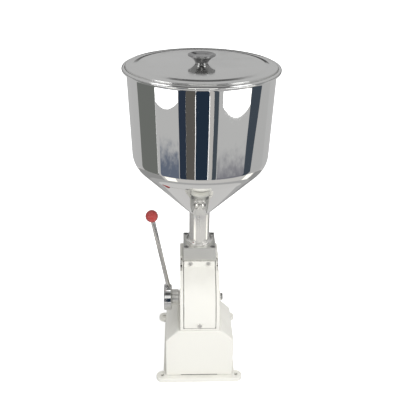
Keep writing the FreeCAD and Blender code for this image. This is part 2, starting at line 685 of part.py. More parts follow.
def body_casting():
    """The painted casting: a hollow base with sloping shoulders and apron, and two cheeks round the
    mechanism."""
    cavity = base_cavity()
    body = new_body("body_casting")
    outline = base_outline("base_half_width", "foot_thickness", BASE_TOP, "shoulder")
    extrude(body, "Pad", "base", new_sketch(body, "base_outline", "XZ", [outline]),
            "base_rear_reach", "base_front_reach")
    extrude(body, "Pocket", "apron", new_sketch(body, "apron_outline", "YZ", [apron_cut("0", "0")]),
            "base_half_width * 2 + base_wall", symmetric=True)
    shoulders = []
    for side in ("-", ""):
        for x, z in (("base_half_width", f"{BASE_TOP} - shoulder"),
                     ("(base_half_width - shoulder)", BASE_TOP)):
            shoulders += edges_in(body.Tip, (side + x, "-base_rear_reach", z),
                                  (side + x, "base_front_reach", z))
    soften(body, "Fillet", "shoulders", shoulders, "shoulder_round")
    rear = edges_in(body.Tip, ("-base_half_width", "-base_rear_reach", "foot_thickness"),
                    ("base_half_width", "-base_rear_reach", BASE_TOP))
    foot_edges = edges_in(body.Tip, ("-base_half_width", "-base_rear_reach", "foot_thickness"),
                          ("base_half_width", "-base_rear_reach", "foot_thickness"))
    soften(body, "Fillet", "rear_corners", [edge for edge in rear if edge not in foot_edges],
           "base_corner_round")
    column = [("column_front_reach", "foot_thickness + base_wall"), ("column_front_reach", COLUMN_TOP),
              (f"-{COVER_OUTER}", COLUMN_TOP), (f"-{COVER_OUTER}", COVER_KNEE, "cover_bulge_radius", 1),
              (f"-{COVER_FOOT_Y}", COVER_FOOT_Z), (f"-{COVER_FOOT_Y}", "foot_thickness + base_wall")]
    extrude(body, "Pad", "column", new_sketch(body, "column_outline", "YZ", [column]),
            "column_half_width * 2", symmetric=True)
    front = [edge for side in ("-", "") for edge in edges_in(
        body.Tip, (side + "column_half_width", "column_front_reach", "foot_thickness + apron_height"),
        (side + "column_half_width", "column_front_reach", COLUMN_TOP))]
    soften(body, "Fillet", "front_corners", front, "column_round")
    hollow = body.newObject("PartDesign::Boolean", "body_casting_hollow")
    hollow.setObjects([cavity])
    hollow.Type = "Cut"
    document.recompute()
    wall_inside = "(base_rear_reach - base_wall - lug_seat)"
    channel_foot = "(foot_thickness + apron_height)"
    channel = [(f"-{wall_inside}", channel_foot), (f"-{wall_inside}", COVER_BOTTOM),
               ("-base_rear_reach - base_wall", COVER_BOTTOM),
               ("-base_rear_reach - base_wall", f"{COLUMN_TOP} + base_wall"),
               (COVER_INNER, f"{COLUMN_TOP} + base_wall"), (COVER_INNER, BLOCK_FOOT),
               (f"-{COVER_INNER}", BLOCK_FOOT), (f"-{COVER_INNER}", f"{BLOCK_FOOT} - shelf_thickness"),
               (COVER_INNER, f"{BLOCK_FOOT} - shelf_thickness"), (COVER_INNER, channel_foot)]
    extrude(body, "Pocket", "channel", new_sketch(body, "channel_outline", "YZ", [channel]),
            f"{CHANNEL_HALF} * 2", symmetric=True)
    box_feature(body, "bridge", False,
                (f"-{CHANNEL_HALF} - 1", "-bridge_half_depth", f"{BASE_TOP} - bridge_thickness"),
                (f"{CHANNEL_HALF} * 2 + 2", "bridge_half_depth * 2", "bridge_thickness"))
    lug = ("cover_screw_lug_width",
           f"{COVER_FOOT_Y} - cover_thickness - cover_seat_gap - {wall_inside} + lug_seat",
           "cover_screw_rise * 2 + base_wall * 2")
    box_feature(body, "cover_lug", False,
                ("-cover_screw_lug_width / 2", f"-{COVER_FOOT_Y} + cover_thickness + cover_seat_gap",
                 f"{COVER_BOTTOM} - base_wall * 2"), lug)
    for number, (x, y) in enumerate(FOOT_SCREWS):
        round_feature(body, f"post_{number}", False, "foot_post_radius", "foot_post_height", x, y,
                      "foot_thickness")
        round_feature(body, f"post_hole_{number}", True, "screw_radius + screw_clearance",
                      "short_screw_length",
                      x, y, "foot_thickness")
    round_feature(body, "left_boss", False, "left_boss_radius", f"{NUT_START} - {CHANNEL_HALF}",
                  f"-{CHANNEL_HALF}", SHAFT_Y, SHAFT_Z, "left")
    round_feature(body, "right_boss", False, "right_boss_radius",
                  f"column_half_width + right_boss_height - {CHANNEL_HALF}", CHANNEL_HALF, SHAFT_Y, SHAFT_Z,
                  "right")
    round_feature(body, "left_bore", True, f"{LEFT_BUSH_RADIUS} + seat_fit", "column_half_width",
                  f"-{CHANNEL_HALF} + 1", SHAFT_Y, SHAFT_Z, "left")
    round_feature(body, "right_bore", True, f"{RIGHT_BUSH_RADIUS} + seat_fit", "column_half_width",
                  f"{CHANNEL_HALF} - 1", SHAFT_Y, SHAFT_Z, "right")
    round_feature(body, "liner_hole", True, f"{LINER_RADIUS} + shelf_hole_gap", "shelf_thickness",
                  0, 0, f"{BLOCK_FOOT} - shelf_thickness")
    round_feature(body, "liner_recess", True, f"{LINER_RADIUS} + liner_flange + seat_fit * 2",
                  "liner_flange_thickness",
                  0, 0, f"{BLOCK_FOOT} - liner_flange_thickness")
    round_feature(body, "guide_hole", True, "rod_radius + rod_guide_fit + guide_bush_wall + seat_fit",
                  "bridge_thickness", 0, 0, f"{BASE_TOP} - bridge_thickness")
    for number, (x, y) in enumerate(BLOCK_SCREWS):
        round_feature(body, f"shelf_hole_{number}", True, "screw_radius + screw_clearance",
                      "shelf_thickness",
                      x, y, f"{BLOCK_FOOT} - shelf_thickness")
    for name, x, turn in (("left", "-column_half_width", "right"), ("right", "column_half_width", "left")):
        round_feature(body, name + "_side_hole", True, "screw_radius + screw_clearance",
                      f"column_half_width - {CHANNEL_HALF}", x, "-side_screw_setback",
                      SIDE_SCREW_Z, turn)
    for name, x in (("left", "-column_half_width - 1"), ("right", "column_half_width - side_pocket_depth")):
        box_feature(body, name + "_pocket", True,
                    (x, f"-{COVER_OUTER} - base_wall", f"{SIDE_SCREW_Z} - {SIDE_POCKET_REACH}"),
                    ("side_pocket_depth + 1",
                     f"{COVER_OUTER} + base_wall - side_screw_setback + {SIDE_POCKET_REACH}",
                     f"side_screw_drop + {SIDE_POCKET_REACH} + 1"))
    for name, x in (("left", "-side_screw_setback"), ("right", "side_screw_setback")):
        round_feature(body, name + "_front_hole", True, "screw_radius + screw_clearance",
                      f"column_front_reach - {COVER_INNER}", x, "column_front_reach",
                      SIDE_SCREW_Z, "rear")
    round_feature(body, "cover_hole", True, "screw_radius + screw_clearance", "short_screw_length",
                  0, f"-{COVER_FOOT_Y} + cover_thickness", f"{COVER_BOTTOM} + cover_screw_rise", "front")
    round_feature(body, "stop_hole", True, "stop_screw_radius + screw_clearance",
                  f"column_front_reach - {COVER_INNER}",
                  STOP_SCREW_X, "column_front_reach", STOP_SCREW_Z, "rear")
    box_feature(body, "drain_slot", True, ("-drain_slot_width / 2", "-base_rear_reach", "foot_thickness"),
                ("drain_slot_width", "base_wall", "drain_slot_height"))


def rear_cover():
    """The bulged cover over the mechanism, an even wall that follows the cheeks' rear edges."""
    body = new_body("rear_cover")
    top = f"({COLUMN_TOP} + cover_rise)"
    inner_foot = f"({COVER_FOOT_Y} - cover_thickness)"
    section = [(f"-{COVER_OUTER}", top), (f"-{COVER_OUTER}", COVER_KNEE, "cover_bulge_radius", 1),
               (f"-{COVER_FOOT_Y}", COVER_FOOT_Z), (f"-{COVER_FOOT_Y}", COVER_BOTTOM + " + cover_seat_gap"),
               (f"-{inner_foot}", COVER_BOTTOM + " + cover_seat_gap"),
               (f"-{inner_foot}", COVER_FOOT_Z, "cover_bulge_radius - cover_thickness", -1),
               (f"-{COVER_INNER}", f"{COVER_KNEE} - cover_thickness"), (f"-{COVER_INNER}", top)]
    half_width = f"({CHANNEL_HALF} - cover_side_gap)"
    extrude(body, "Pad", "wall", new_sketch(body, "section", "YZ", [section]), f"{half_width} * 2",
            symmetric=True)
    foot = COVER_BOTTOM + " + cover_seat_gap"
    corners = []
    for side in ("-", ""):
        corners += edges_in(body.Tip, (side + half_width, f"-{COVER_FOOT_Y}", foot),
                            (side + half_width, f"-{inner_foot}", foot))
    soften(body, "Fillet", "corners", corners, "cover_corner_round")
    for name, x in (("left", "-cover_screw_spread"), ("right", "cover_screw_spread")):
        round_feature(body, name + "_hole", True, "screw_radius + screw_clearance", "cover_thickness",
                      x, f"-{COVER_OUTER}", f"{top} - cover_screw_drop", "front")
    round_feature(body, "foot_hole", True, "screw_radius + screw_clearance", "cover_thickness",
                  0, f"-{COVER_FOOT_Y}", f"{COVER_BOTTOM} + cover_screw_rise", "front")


def valve_block():
    """The steel block that holds the cylinder, the feed valve and the discharge port."""
    body = new_body("valve_block")
    outline = [("-block_half_width", "-block_half_depth"), ("block_half_width", "-block_half_depth"),
               ("block_half_width", "block_half_depth"), ("-block_half_width", "block_half_depth")]
    extrude(body, "Pad", "block", new_sketch(body, "outline", "XY", [outline], lift=BLOCK_FOOT),
            "block_height")
    corners = [edge for x in ("-block_half_width", "block_half_width")
               for y in ("-block_half_depth", "block_half_depth")
               for edge in edges_in(body.Tip, (x, y, BLOCK_FOOT), (x, y, BLOCK_TOP))]
    soften(body, "Fillet", "corners", corners, "block_edge_round")
    rim = edges_in(body.Tip, ("-block_half_width", "-block_half_depth", BLOCK_TOP),
                   ("block_half_width", "block_half_depth", BLOCK_TOP))
    soften(body, "Chamfer", "rim", rim, "block_edge_round / 2")
    recess = "(feed_seat_radius + seat_fit)"
    groove(body, "bores", [
        (0, f"{BLOCK_FOOT} - 1"), (f"{LINER_RADIUS} + seat_fit", f"{BLOCK_FOOT} - 1"),
        (f"{LINER_RADIUS} + seat_fit", LINER_TOP), ("retainer_radius + retainer_fit", LINER_TOP),
        ("retainer_radius + retainer_fit", RETAINER_TOP), ("chamber_radius", RETAINER_TOP),
        ("chamber_radius", FEED_SEAT_FOOT), (recess, FEED_SEAT_FOOT),
        (recess, f"{BLOCK_TOP} - pipe_spigot_height"),
        ("pipe_spigot_radius + seat_fit", f"{BLOCK_TOP} - pipe_spigot_height"),
        ("pipe_spigot_radius + seat_fit", f"{BLOCK_TOP} + 1"), (0, f"{BLOCK_TOP} + 1")])
    groove(body, "seal_groove", ring_outline(
        "pipe_seal_radius - pipe_seal_wire", "pipe_seal_radius + pipe_seal_wire",
        f"{BLOCK_TOP} - pipe_seal_wire * 2", f"{BLOCK_TOP} + 1"))
    round_feature(body, "outlet", True, "outlet_bore_radius", "block_half_depth", 0, 0, OUTLET_Z, "front")
    round_feature(body, "port", True, "elbow_neck_radius + seat_fit", "elbow_thread_length",
                  0, "block_half_depth", OUTLET_Z, "rear")
    for number, (x, y) in enumerate(BLOCK_SCREWS):
        round_feature(body, f"screw_hole_{number}", True, "screw_radius + screw_clearance", "block_height",
                      x, y, BLOCK_FOOT)
        round_feature(body, f"head_recess_{number}", True, "socket_head_radius + screw_clearance",
                      "socket_head_height", x, y, f"{BLOCK_TOP} - socket_head_height")
    for name, x, turn in (("left", "-block_half_width", "right"), ("right", "block_half_width", "left")):
        round_feature(body, name + "_side_hole", True, "screw_radius + screw_clearance", SIDE_HOLE_DEPTH,
                      x, "-side_screw_setback", SIDE_SCREW_Z, turn)
    for name, x in (("left", "-side_screw_setback"), ("right", "side_screw_setback")):
        round_feature(body, name + "_front_hole", True, "screw_radius + screw_clearance", SIDE_HOLE_DEPTH,
                      x, "block_half_depth", SIDE_SCREW_Z, "rear")
    for name, x in (("left", "-cover_screw_spread"), ("right", "cover_screw_spread")):
        round_feature(body, name + "_cover_hole", True, "screw_radius + screw_clearance",
                      "short_screw_length - cover_thickness - cover_seat_gap + screw_clearance * 2",
                      x, "-block_half_depth", f"{COLUMN_TOP} + cover_rise - cover_screw_drop", "front")


SIDE_HOLE_DEPTH = f"(short_screw_length - column_half_width + {CHANNEL_HALF} + screw_clearance * 2)"


def cylinder_parts():
    """The liner with its flange, the seal round it, the piston with two seals, and the piston's bolt."""
    seal_z = f"({BLOCK_FOOT} + liner_seal_drop)"
    flange = f"({LINER_RADIUS} + liner_flange)"
    liner = turned("cylinder_liner", [
        ("bore_radius", LINER_FOOT), (LINER_RADIUS, LINER_FOOT),
        (LINER_RADIUS, f"{BLOCK_FOOT} - liner_flange_thickness + seat_fit"),
        (flange, f"{BLOCK_FOOT} - liner_flange_thickness + seat_fit"), (flange, BLOCK_FOOT),
        (LINER_RADIUS, BLOCK_FOOT), (LINER_RADIUS, LINER_TOP), ("bore_radius", LINER_TOP)])
    groove(liner, "seal_groove", ring_outline(
        f"{LINER_RADIUS} - liner_seal_wire * 2 - seat_fit", f"{LINER_RADIUS} + 1",
        f"{seal_z} - liner_seal_wire", f"{seal_z} + liner_seal_wire"))
    torus("liner_seal", f"{LINER_RADIUS} - liner_seal_wire", "liner_seal_wire", seal_z)

    head_seat = "(piston_length - pan_head_height - screw_clearance)"
    hole = "(screw_radius + screw_clearance)"
    head = "(pan_head_radius + screw_clearance)"
    outer = "(bore_radius - piston_fit)"
    spigot = "(piston_spigot_radius + seat_fit)"
    piston = turned("piston", [
        (spigot, 0), (outer, 0), (outer, "piston_length"), (head, "piston_length"), (head, head_seat),
        (hole, head_seat), (hole, "piston_spigot_length"), (spigot, "piston_spigot_length")], z=PISTON_FOOT)
    rings = []
    for number, z in enumerate(("piston_length / 2 - piston_seal_spacing / 2",
                                "piston_length / 2 + piston_seal_spacing / 2")):
        groove(piston, f"ring_groove_{number}", ring_outline(
            f"{outer} - piston_seal_wire * 2", f"{outer} + 1", f"{z} - piston_seal_wire",
            f"{z} + piston_seal_wire"))
        ring = Part.makeTorus(value(f"{outer} - piston_seal_wire"), value("piston_seal_wire"))
        rings.append(posed(ring, 0, 0, f"{PISTON_FOOT} + {z}"))
    group("piston_seals", rings)
    group("piston_bolt", [posed(screw("pan_head_radius", "pan_head_height", "short_screw_length"),
                                0, 0, f"{PISTON_FOOT} + {head_seat}")])


TOOTH_PITCH = "(pi * gear_module)"
PRESSURE_ANGLE = 20
# The tooth's root lies this many modules inside the pitch circle.
ROOT_DEPTH = 1.25
# An involute flank starts this little outside its base circle, where it has a direction.
FLANK_START = 1.0005
# The shares of a flank's height where its curve is fixed.
FLANK_SHARES = (0, 0.35, 0.7, 1)


def rack_rod():
    """The round rod that carries the piston. A row of tooth gaps is cut along a flat on its rear side."""
    body = turned("rack_rod", [
        (0, ROD_FOOT), ("rod_radius", ROD_FOOT), ("rod_radius", PISTON_FOOT),
        ("piston_spigot_radius", PISTON_FOOT),
        ("piston_spigot_radius", f"{PISTON_FOOT} + piston_spigot_length - seat_fit"),
        (0, f"{PISTON_FOOT} + piston_spigot_length - seat_fit")])
    soften(body, "Chamfer", "foot", edges_in(
        body.Tip, ("-rod_radius", "-rod_radius", ROD_FOOT), ("rod_radius", "rod_radius", ROD_FOOT)),
        "rod_chamfer")
    low = f"(shaft_height - rack_gaps_below * {TOOTH_PITCH})"
    reach = f"((rack_gaps - 1) * {TOOTH_PITCH})"
    box_feature(body, "flat", True, ("-rod_radius", "-rod_radius * 2", f"{low} - rod_flat_margin"),
                ("rod_radius * 2", "rod_radius + rack_flat_depth", f"{reach} + rod_flat_margin * 2"))
    slope = f"tan({PRESSURE_ANGLE})"
    half_gap = f"({TOOTH_PITCH} / 4 + tooth_thinning / 2)"
    root, mouth = "(gear_module * 1.25)", "(gear_module * 2)"
    gap = [(f"{mouth} * -1 - {RACK_PITCH}", f"{low} - {half_gap} - {mouth} * {slope}"),
           (f"{root} - {RACK_PITCH}", f"{low} - {half_gap} + {root} * {slope}"),
           (f"{root} - {RACK_PITCH}", f"{low} + {half_gap} - {root} * {slope}"),
           (f"{mouth} * -1 - {RACK_PITCH}", f"{low} + {half_gap} + {mouth} * {slope}")]
    first = extrude(body, "Pocket", "gap", new_sketch(body, "gap_outline", "YZ", [gap]),
                    "rod_radius * 2 + 1",
                    symmetric=True)
    pattern(body, "LinearPattern", "gaps", first, "Z", "rack_gaps", reach)
    round_feature(body, "bolt_hole", True, "screw_radius + screw_clearance", "short_screw_length",
                  0, 0, f"{PISTON_FOOT} + piston_spigot_length", "down")


def involute(base_radius, radius, turn, side):
    """The point where the involute of a base circle reaches a radius, turned about the centre, on either
    flank."""
    roll = math.sqrt((radius / base_radius) ** 2 - 1)
    angle = turn - side * (roll - math.atan(roll))
    return Vector(radius * math.cos(angle), radius * math.sin(angle), 0)


def pinion():
    """The pinion: involute teeth with a tooth pointing at the rack, a hub on one side, a bore and a
    keyway."""
    teeth = int(value("pinion_teeth"))
    module = value("gear_module")
    pitch = module * teeth / 2
    base = pitch * math.cos(math.radians(PRESSURE_ANGLE))
    tip, root = pitch + module, pitch - ROOT_DEPTH * module
    half_tooth = (math.pi * module / 2 - value("tooth_thinning")) / (2 * pitch)
    flank_turn = half_tooth + math.tan(math.radians(PRESSURE_ANGLE)) - math.radians(PRESSURE_ANGLE)
    start = max(base, root) * FLANK_START
    radii = [start + (tip - start) * share for share in FLANK_SHARES]
    edges = []
    for tooth in range(teeth):
        middle = 2 * math.pi * tooth / teeth
        low = [involute(base, radius, middle - flank_turn, -1) for radius in radii]
        high = [involute(base, radius, middle + flank_turn, 1) for radius in reversed(radii)]
        following = middle + 2 * math.pi / teeth - flank_turn
        root_low = Vector(root * math.cos(middle - flank_turn), root * math.sin(middle - flank_turn), 0)
        root_high = Vector(root * math.cos(middle + flank_turn), root * math.sin(middle + flank_turn), 0)
        root_next = Vector(root * math.cos(following), root * math.sin(following), 0)
        gap_middle = (middle + flank_turn + following) / 2
        deepest = Vector(root * math.cos(gap_middle), root * math.sin(gap_middle), 0)
        crown = Vector(tip * math.cos(middle), tip * math.sin(middle), 0)
        for points in (low, high):
            flank = Part.BSplineCurve()
            flank.interpolate(points)
            edges.append(flank.toShape())
        edges += [Part.LineSegment(root_low, low[0]).toShape(), Part.Arc(low[-1], crown, high[0]).toShape(),
                  Part.LineSegment(high[-1], root_high).toShape(),
                  Part.Arc(root_high, deepest, root_next).toShape()]
    outline = Part.Wire(Part.__sortEdges__(edges))
    width = value("pinion_width")
    gear = Part.Face(outline).extrude(Vector(0, 0, width))
    hub = Part.makeCylinder(value("pinion_hub_radius"), value("pinion_hub_length"), Vector(0, 0, width))
    length = width + value("pinion_hub_length")
    bore = Part.makeCylinder(value("shaft_radius + shaft_fit"), length)
    slot_width = value("key_width + key_fit * 2")
    slot = Part.makeBox(value("shaft_radius + key_height / 2 + key_fit"), slot_width, length,
                        Vector(0, -slot_width / 2, 0))
    slot.rotate(Vector(), Vector(0, 0, 1), 90)
    item = group("pinion", [gear.fuse(hub).cut(bore.fuse(slot)).removeSplitter()])
    turn = FreeCAD.Rotation(Vector(1, 1, 1), 120)
    item.Placement = FreeCAD.Placement(Vector(-width / 2, value(SHAFT_Y), value(SHAFT_Z)), turn)


def shaft_parts():
    """The stepped shaft with its keys, bushes, ring nut, end washers and end screws."""
    hole = "screw_radius + screw_clearance"
    body = turned("drive_shaft", [
        (0, f"-{SHAFT_LEFT}"), ("shaft_radius", f"-{SHAFT_LEFT}"), ("shaft_radius", "journal_start"),
        ("journal_radius", "journal_start"), ("journal_radius", SHAFT_RIGHT), (0, SHAFT_RIGHT)],
        0, SHAFT_Y, SHAFT_Z, "right")
    key_depth = "(shaft_radius - key_height / 2 - key_fit)"
    for name, start, length in KEYS:
        box_feature(body, name + "_keyway", True,
                    ("-shaft_radius - 1", "-key_width / 2 - key_fit", f"{start} - key_fit"),
                    (f"shaft_radius + 1 - {key_depth}", "key_width + key_fit * 2",
                     f"{length} + key_fit * 2"))
    round_feature(body, "left_thread", True, hole, "short_screw_length + 1", 0, 0, f"-{SHAFT_LEFT}")
    round_feature(body, "right_thread", True, hole, "short_screw_length + 1", 0, 0, SHAFT_RIGHT, "down")
    keys = [posed(Part.makeBox(value(length), value("key_width"), value("key_height")),
                  start, f"{SHAFT_Y} - key_width / 2", f"{SHAFT_Z} + shaft_radius - key_height / 2")
            for name, start, length in KEYS]
    group("shaft_keys", keys)

    lip_radius = f"({LEFT_BUSH_RADIUS} + bush_lip)"
    turned("left_bush", [
        ("shaft_radius + shaft_fit", f"{CHANNEL_HALF} - bush_lip"),
        (lip_radius, f"{CHANNEL_HALF} - bush_lip"),
        (lip_radius, CHANNEL_HALF), (LEFT_BUSH_RADIUS, CHANNEL_HALF), (LEFT_BUSH_RADIUS, NUT_END),
        ("shaft_radius + shaft_fit", NUT_END)], 0, SHAFT_Y, SHAFT_Z, "left")
    lip_radius = f"({RIGHT_BUSH_RADIUS} + bush_lip)"
    boss_face = "(column_half_width + right_boss_height)"
    turned("right_bush", [
        ("journal_radius + shaft_fit", f"{CHANNEL_HALF} - bush_lip"),
        (lip_radius, f"{CHANNEL_HALF} - bush_lip"),
        (lip_radius, CHANNEL_HALF), (RIGHT_BUSH_RADIUS, CHANNEL_HALF), (RIGHT_BUSH_RADIUS, boss_face),
        ("journal_radius + shaft_fit", boss_face)], 0, SHAFT_Y, SHAFT_Z, "right")

    bore = f"({LEFT_BUSH_RADIUS} + seat_fit)"
    neck, full = "ring_nut_neck_length", "(ring_nut_neck_length + ring_nut_length)"
    nut = turned("bush_nut", [
        (bore, 0), ("ring_nut_neck_radius", 0), ("ring_nut_neck_radius", neck), ("ring_nut_radius", neck),
        ("ring_nut_radius", full), (bore, full)], f"-{NUT_START}", SHAFT_Y, SHAFT_Z, "left")
    slot = box_feature(nut, "slot", True,
                       ("ring_nut_radius - ring_nut_slot_depth", "-ring_nut_slot_width / 2",
                        f"{full} - ring_nut_slot_length"),
                       ("ring_nut_slot_depth + 1", "ring_nut_slot_width", "ring_nut_slot_length + 1"))
    pattern(nut, "PolarPattern", "slots", slot, "Z", "ring_nut_slots", None)

    turned("shaft_end_washer", ring_outline(hole, "end_screw_radius", 0, "end_washer_thickness"),
           SHAFT_RIGHT, SHAFT_Y, SHAFT_Z, "right")
    group("shaft_end_screw", [posed(screw("end_screw_radius", "end_screw_height", "short_screw_length"),
                                    f"{SHAFT_RIGHT} + end_washer_thickness", SHAFT_Y, SHAFT_Z, "right")])


KEYS = (("pinion", "-pinion_width / 2 + 1", "pinion_width - 2"),
        ("hub", f"-{SHAFT_LEFT} + 1", f"{SHAFT_LEFT} - {HUB_FACE} - 2"))


def lever_frame(body, along):
    """Puts a body on the lever's tilted axis, a distance along it from the shaft's axis."""
    body.Placement = FreeCAD.Placement(Vector(), FreeCAD.Rotation(Vector(0, 1, 0), -value("lever_tilt")))
    body.setExpression("Placement.Rotation.Angle", bound("-lever_tilt"))
    for axis, formula in (("x", f"{LEVER_X} - ({along}) * sin(lever_tilt)"), ("y", SHAFT_Y),
                          ("z", f"{SHAFT_Z} + ({along}) * cos(lever_tilt)")):
        body.setExpression("Placement.Base." + axis, bound(formula))


def handle_parts():
    """The handle's round hub on the shaft, its washer and screw, the tilted rod and the ball."""
    recess = "(hub_width - hub_recess_depth)"
    hub = turned("handle_hub", [
        ("shaft_radius + shaft_fit", 0), ("hub_radius", 0), ("hub_radius", "hub_width"),
        ("hub_recess_radius", "hub_width"), ("hub_recess_radius", recess),
        ("shaft_radius + shaft_fit", recess)],
        f"-{HUB_FACE}", SHAFT_Y, SHAFT_Z, "left")
    outer = [edge for z in (0, "hub_width") for edge in edges_in(
        hub.Tip, ("-hub_radius", "-hub_radius", z), ("hub_radius", "hub_radius", z))
        if value("hub_radius") - SAME_PLACE < hub.Tip.Shape.getElement(edge).Curve.Radius]
    soften(hub, "Fillet", "edges", outer, "hub_edge_round")
    box_feature(hub, "keyway", True, (0, "-key_width / 2 - key_fit", -1),
                ("shaft_radius + key_height / 2 + key_fit", "key_width + key_fit * 2", f"{recess} + 2"))
    socket = round_feature(hub, "socket", True, "lever_radius + seat_fit", "hub_radius")
    socket.Placement = FreeCAD.Placement(Vector(),
                                         FreeCAD.Rotation(Vector(0, 1, 0), 90 - value("lever_tilt")))
    socket.setExpression("Placement.Rotation.Angle", bound("90 - lever_tilt"))
    socket.setExpression("Placement.Base.x", bound("lever_start * cos(lever_tilt)"))
    socket.setExpression("Placement.Base.z",
                         bound(f"-{LEVER_X} - {HUB_FACE} + lever_start * sin(lever_tilt)"))
    document.recompute()

    rod = turned("handle_rod", [(0, 0), ("lever_radius", 0), ("lever_radius", "lever_length"),
                                (0, "lever_length")])
    lever_frame(rod, "lever_start + seat_fit")
    bore, depth = "(lever_radius + seat_fit)", "(ball_radius - ball_depth - seat_fit)"
    knob = turned("handle_ball", [
        (bore, f"0 - sqrt(ball_radius ^ 2 - {bore} ^ 2)", "ball_radius", 1), (0, "ball_radius"),
        (0, f"-{depth}"), (bore, f"-{depth}")])
    lever_frame(knob, "lever_start + lever_length + ball_radius - ball_depth")

    hole = "(screw_radius + screw_clearance)"
    turned("hub_washer", ring_outline(hole, "hub_recess_radius - screw_clearance * 2", 0,
                                      "hub_washer_thickness"),
           f"-{SHAFT_LEFT} - seat_fit", SHAFT_Y, SHAFT_Z, "left")
    group("hub_screw", [posed(screw("socket_head_radius",
                                    "hub_recess_depth - hub_washer_thickness - seat_fit * 2",
                                    "short_screw_length"),
                              f"-{SHAFT_LEFT} - seat_fit - hub_washer_thickness", SHAFT_Y, SHAFT_Z,
                              "left")])


def dose_stop():
    """The arm on the shaft, and the screw through the front wall that it meets at the end of the stroke."""
    arm = new_body("stop_arm")
    outline = [("-stop_arm_reach", "-stop_arm_half_width"), (0, "-stop_arm_half_width"),
               (0, "stop_arm_half_width"), ("-stop_arm_reach", "stop_arm_half_width")]
    extrude(arm, "Pad", "arm", new_sketch(arm, "outline", "YZ", [outline]), "stop_arm_thickness",
            symmetric=True)
    round_feature(arm, "tip", False, "stop_arm_half_width", "stop_arm_thickness",
                  "-stop_arm_thickness / 2", "-stop_arm_reach", 0, "right")
    round_feature(arm, "hub", False, "pinion_hub_radius", "stop_arm_thickness", "-stop_arm_thickness / 2",
                  0, 0, "right")
    round_feature(arm, "bore", True, "shaft_radius + shaft_fit", "stop_arm_thickness",
                  "-stop_arm_thickness / 2", 0, 0, "right")
    place(arm, STOP_SCREW_X, SHAFT_Y, SHAFT_Z)

    tip = f"({SHAFT_Y} + stop_arm_half_width + stop_screw_gap)"
    length = f"(column_front_reach + stop_screw_outside - {tip})"
    stop = turned("dose_screw", [(0, 0), ("stop_screw_radius", 0), ("stop_screw_radius", length),
                                 (0, length)],
                  STOP_SCREW_X, tip, STOP_SCREW_Z, "front")
    head = new_sketch(stop, "head_outline", "XY", [hexagon("stop_head_radius")], lift=length)
    extrude(stop, "Pad", "head", head, "stop_head_height")
    nut = new_body("dose_lock_nut")
    extrude(nut, "Pad", "nut", new_sketch(nut, "outline", "XY", [hexagon("lock_nut_radius")]),
            "lock_nut_height")
    round_feature(nut, "bore", True, "stop_screw_radius + seat_fit", "lock_nut_height")
    place(nut, STOP_SCREW_X, "column_front_reach", STOP_SCREW_Z, "front")


def feed_valve():
    """The feed valve under the pipe: a seat, the ball it holds back, its spring and the retainer below."""
    turned("feed_seat", [
        ("feed_opening_radius", 0), ("feed_seat_radius", 0), ("feed_seat_radius", "feed_seat_height"),
        ("feed_seat_radius - feed_seat_land", "feed_seat_height"),
        ("feed_opening_radius", "feed_seat_height / 3")],
        z=FEED_SEAT_FOOT)
    ball("feed_ball", "feed_ball_radius", z=FEED_BALL_Z)
    reach = "sqrt((feed_ball_radius + spring_wire_radius) ^ 2 - feed_spring_radius ^ 2)"
    spring("feed_spring", "feed_spring_radius", RETAINER_TOP,
           f"{FEED_BALL_Z} - {reach} + spring_wire_radius", 0, 0)
    body = turned("feed_retainer", [(0, 0), ("retainer_radius", 0),
                                    ("retainer_radius", "retainer_thickness"),
                                    (0, "retainer_thickness")], z=LINER_TOP)
    first = round_feature(body, "hole", True, "retainer_hole_radius", "retainer_thickness",
                          "chamber_radius - retainer_hole_radius - seat_fit")
    pattern(body, "PolarPattern", "holes", first, "Z", "retainer_holes", None)


def feed_pipe():
    """The flanged pipe that joins the hopper to the block, and the seal under its flange."""
    inner = "(pipe_radius - pipe_wall)"
    seat = "(feed_seat_radius - feed_seat_land / 2)"
    pipe = turned("feed_pipe", [
        (seat, "-pipe_spigot_height"), ("pipe_spigot_radius", "-pipe_spigot_height"),
        ("pipe_spigot_radius", 0),
        ("flange_radius", 0), ("flange_radius", "flange_thickness"), ("pipe_radius", "flange_thickness"),
        ("pipe_radius", f"pipe_top - {BLOCK_TOP}"), (inner, f"pipe_top - {BLOCK_TOP}"),
        (inner, "flange_thickness / 2"), (seat, "flange_thickness / 2")], z=BLOCK_TOP)
    rim = [edge for edge in edges_in(
        pipe.Tip, ("-flange_radius", "-flange_radius", "flange_thickness"),
        ("flange_radius", "flange_radius", "flange_thickness"))
        if value("flange_radius") - SAME_PLACE < pipe.Tip.Shape.getElement(edge).Curve.Radius]
    soften(pipe, "Fillet", "rim", rim, "flange_round")
    torus("pipe_seal", "pipe_seal_radius", "pipe_seal_wire", SEAL_Z)


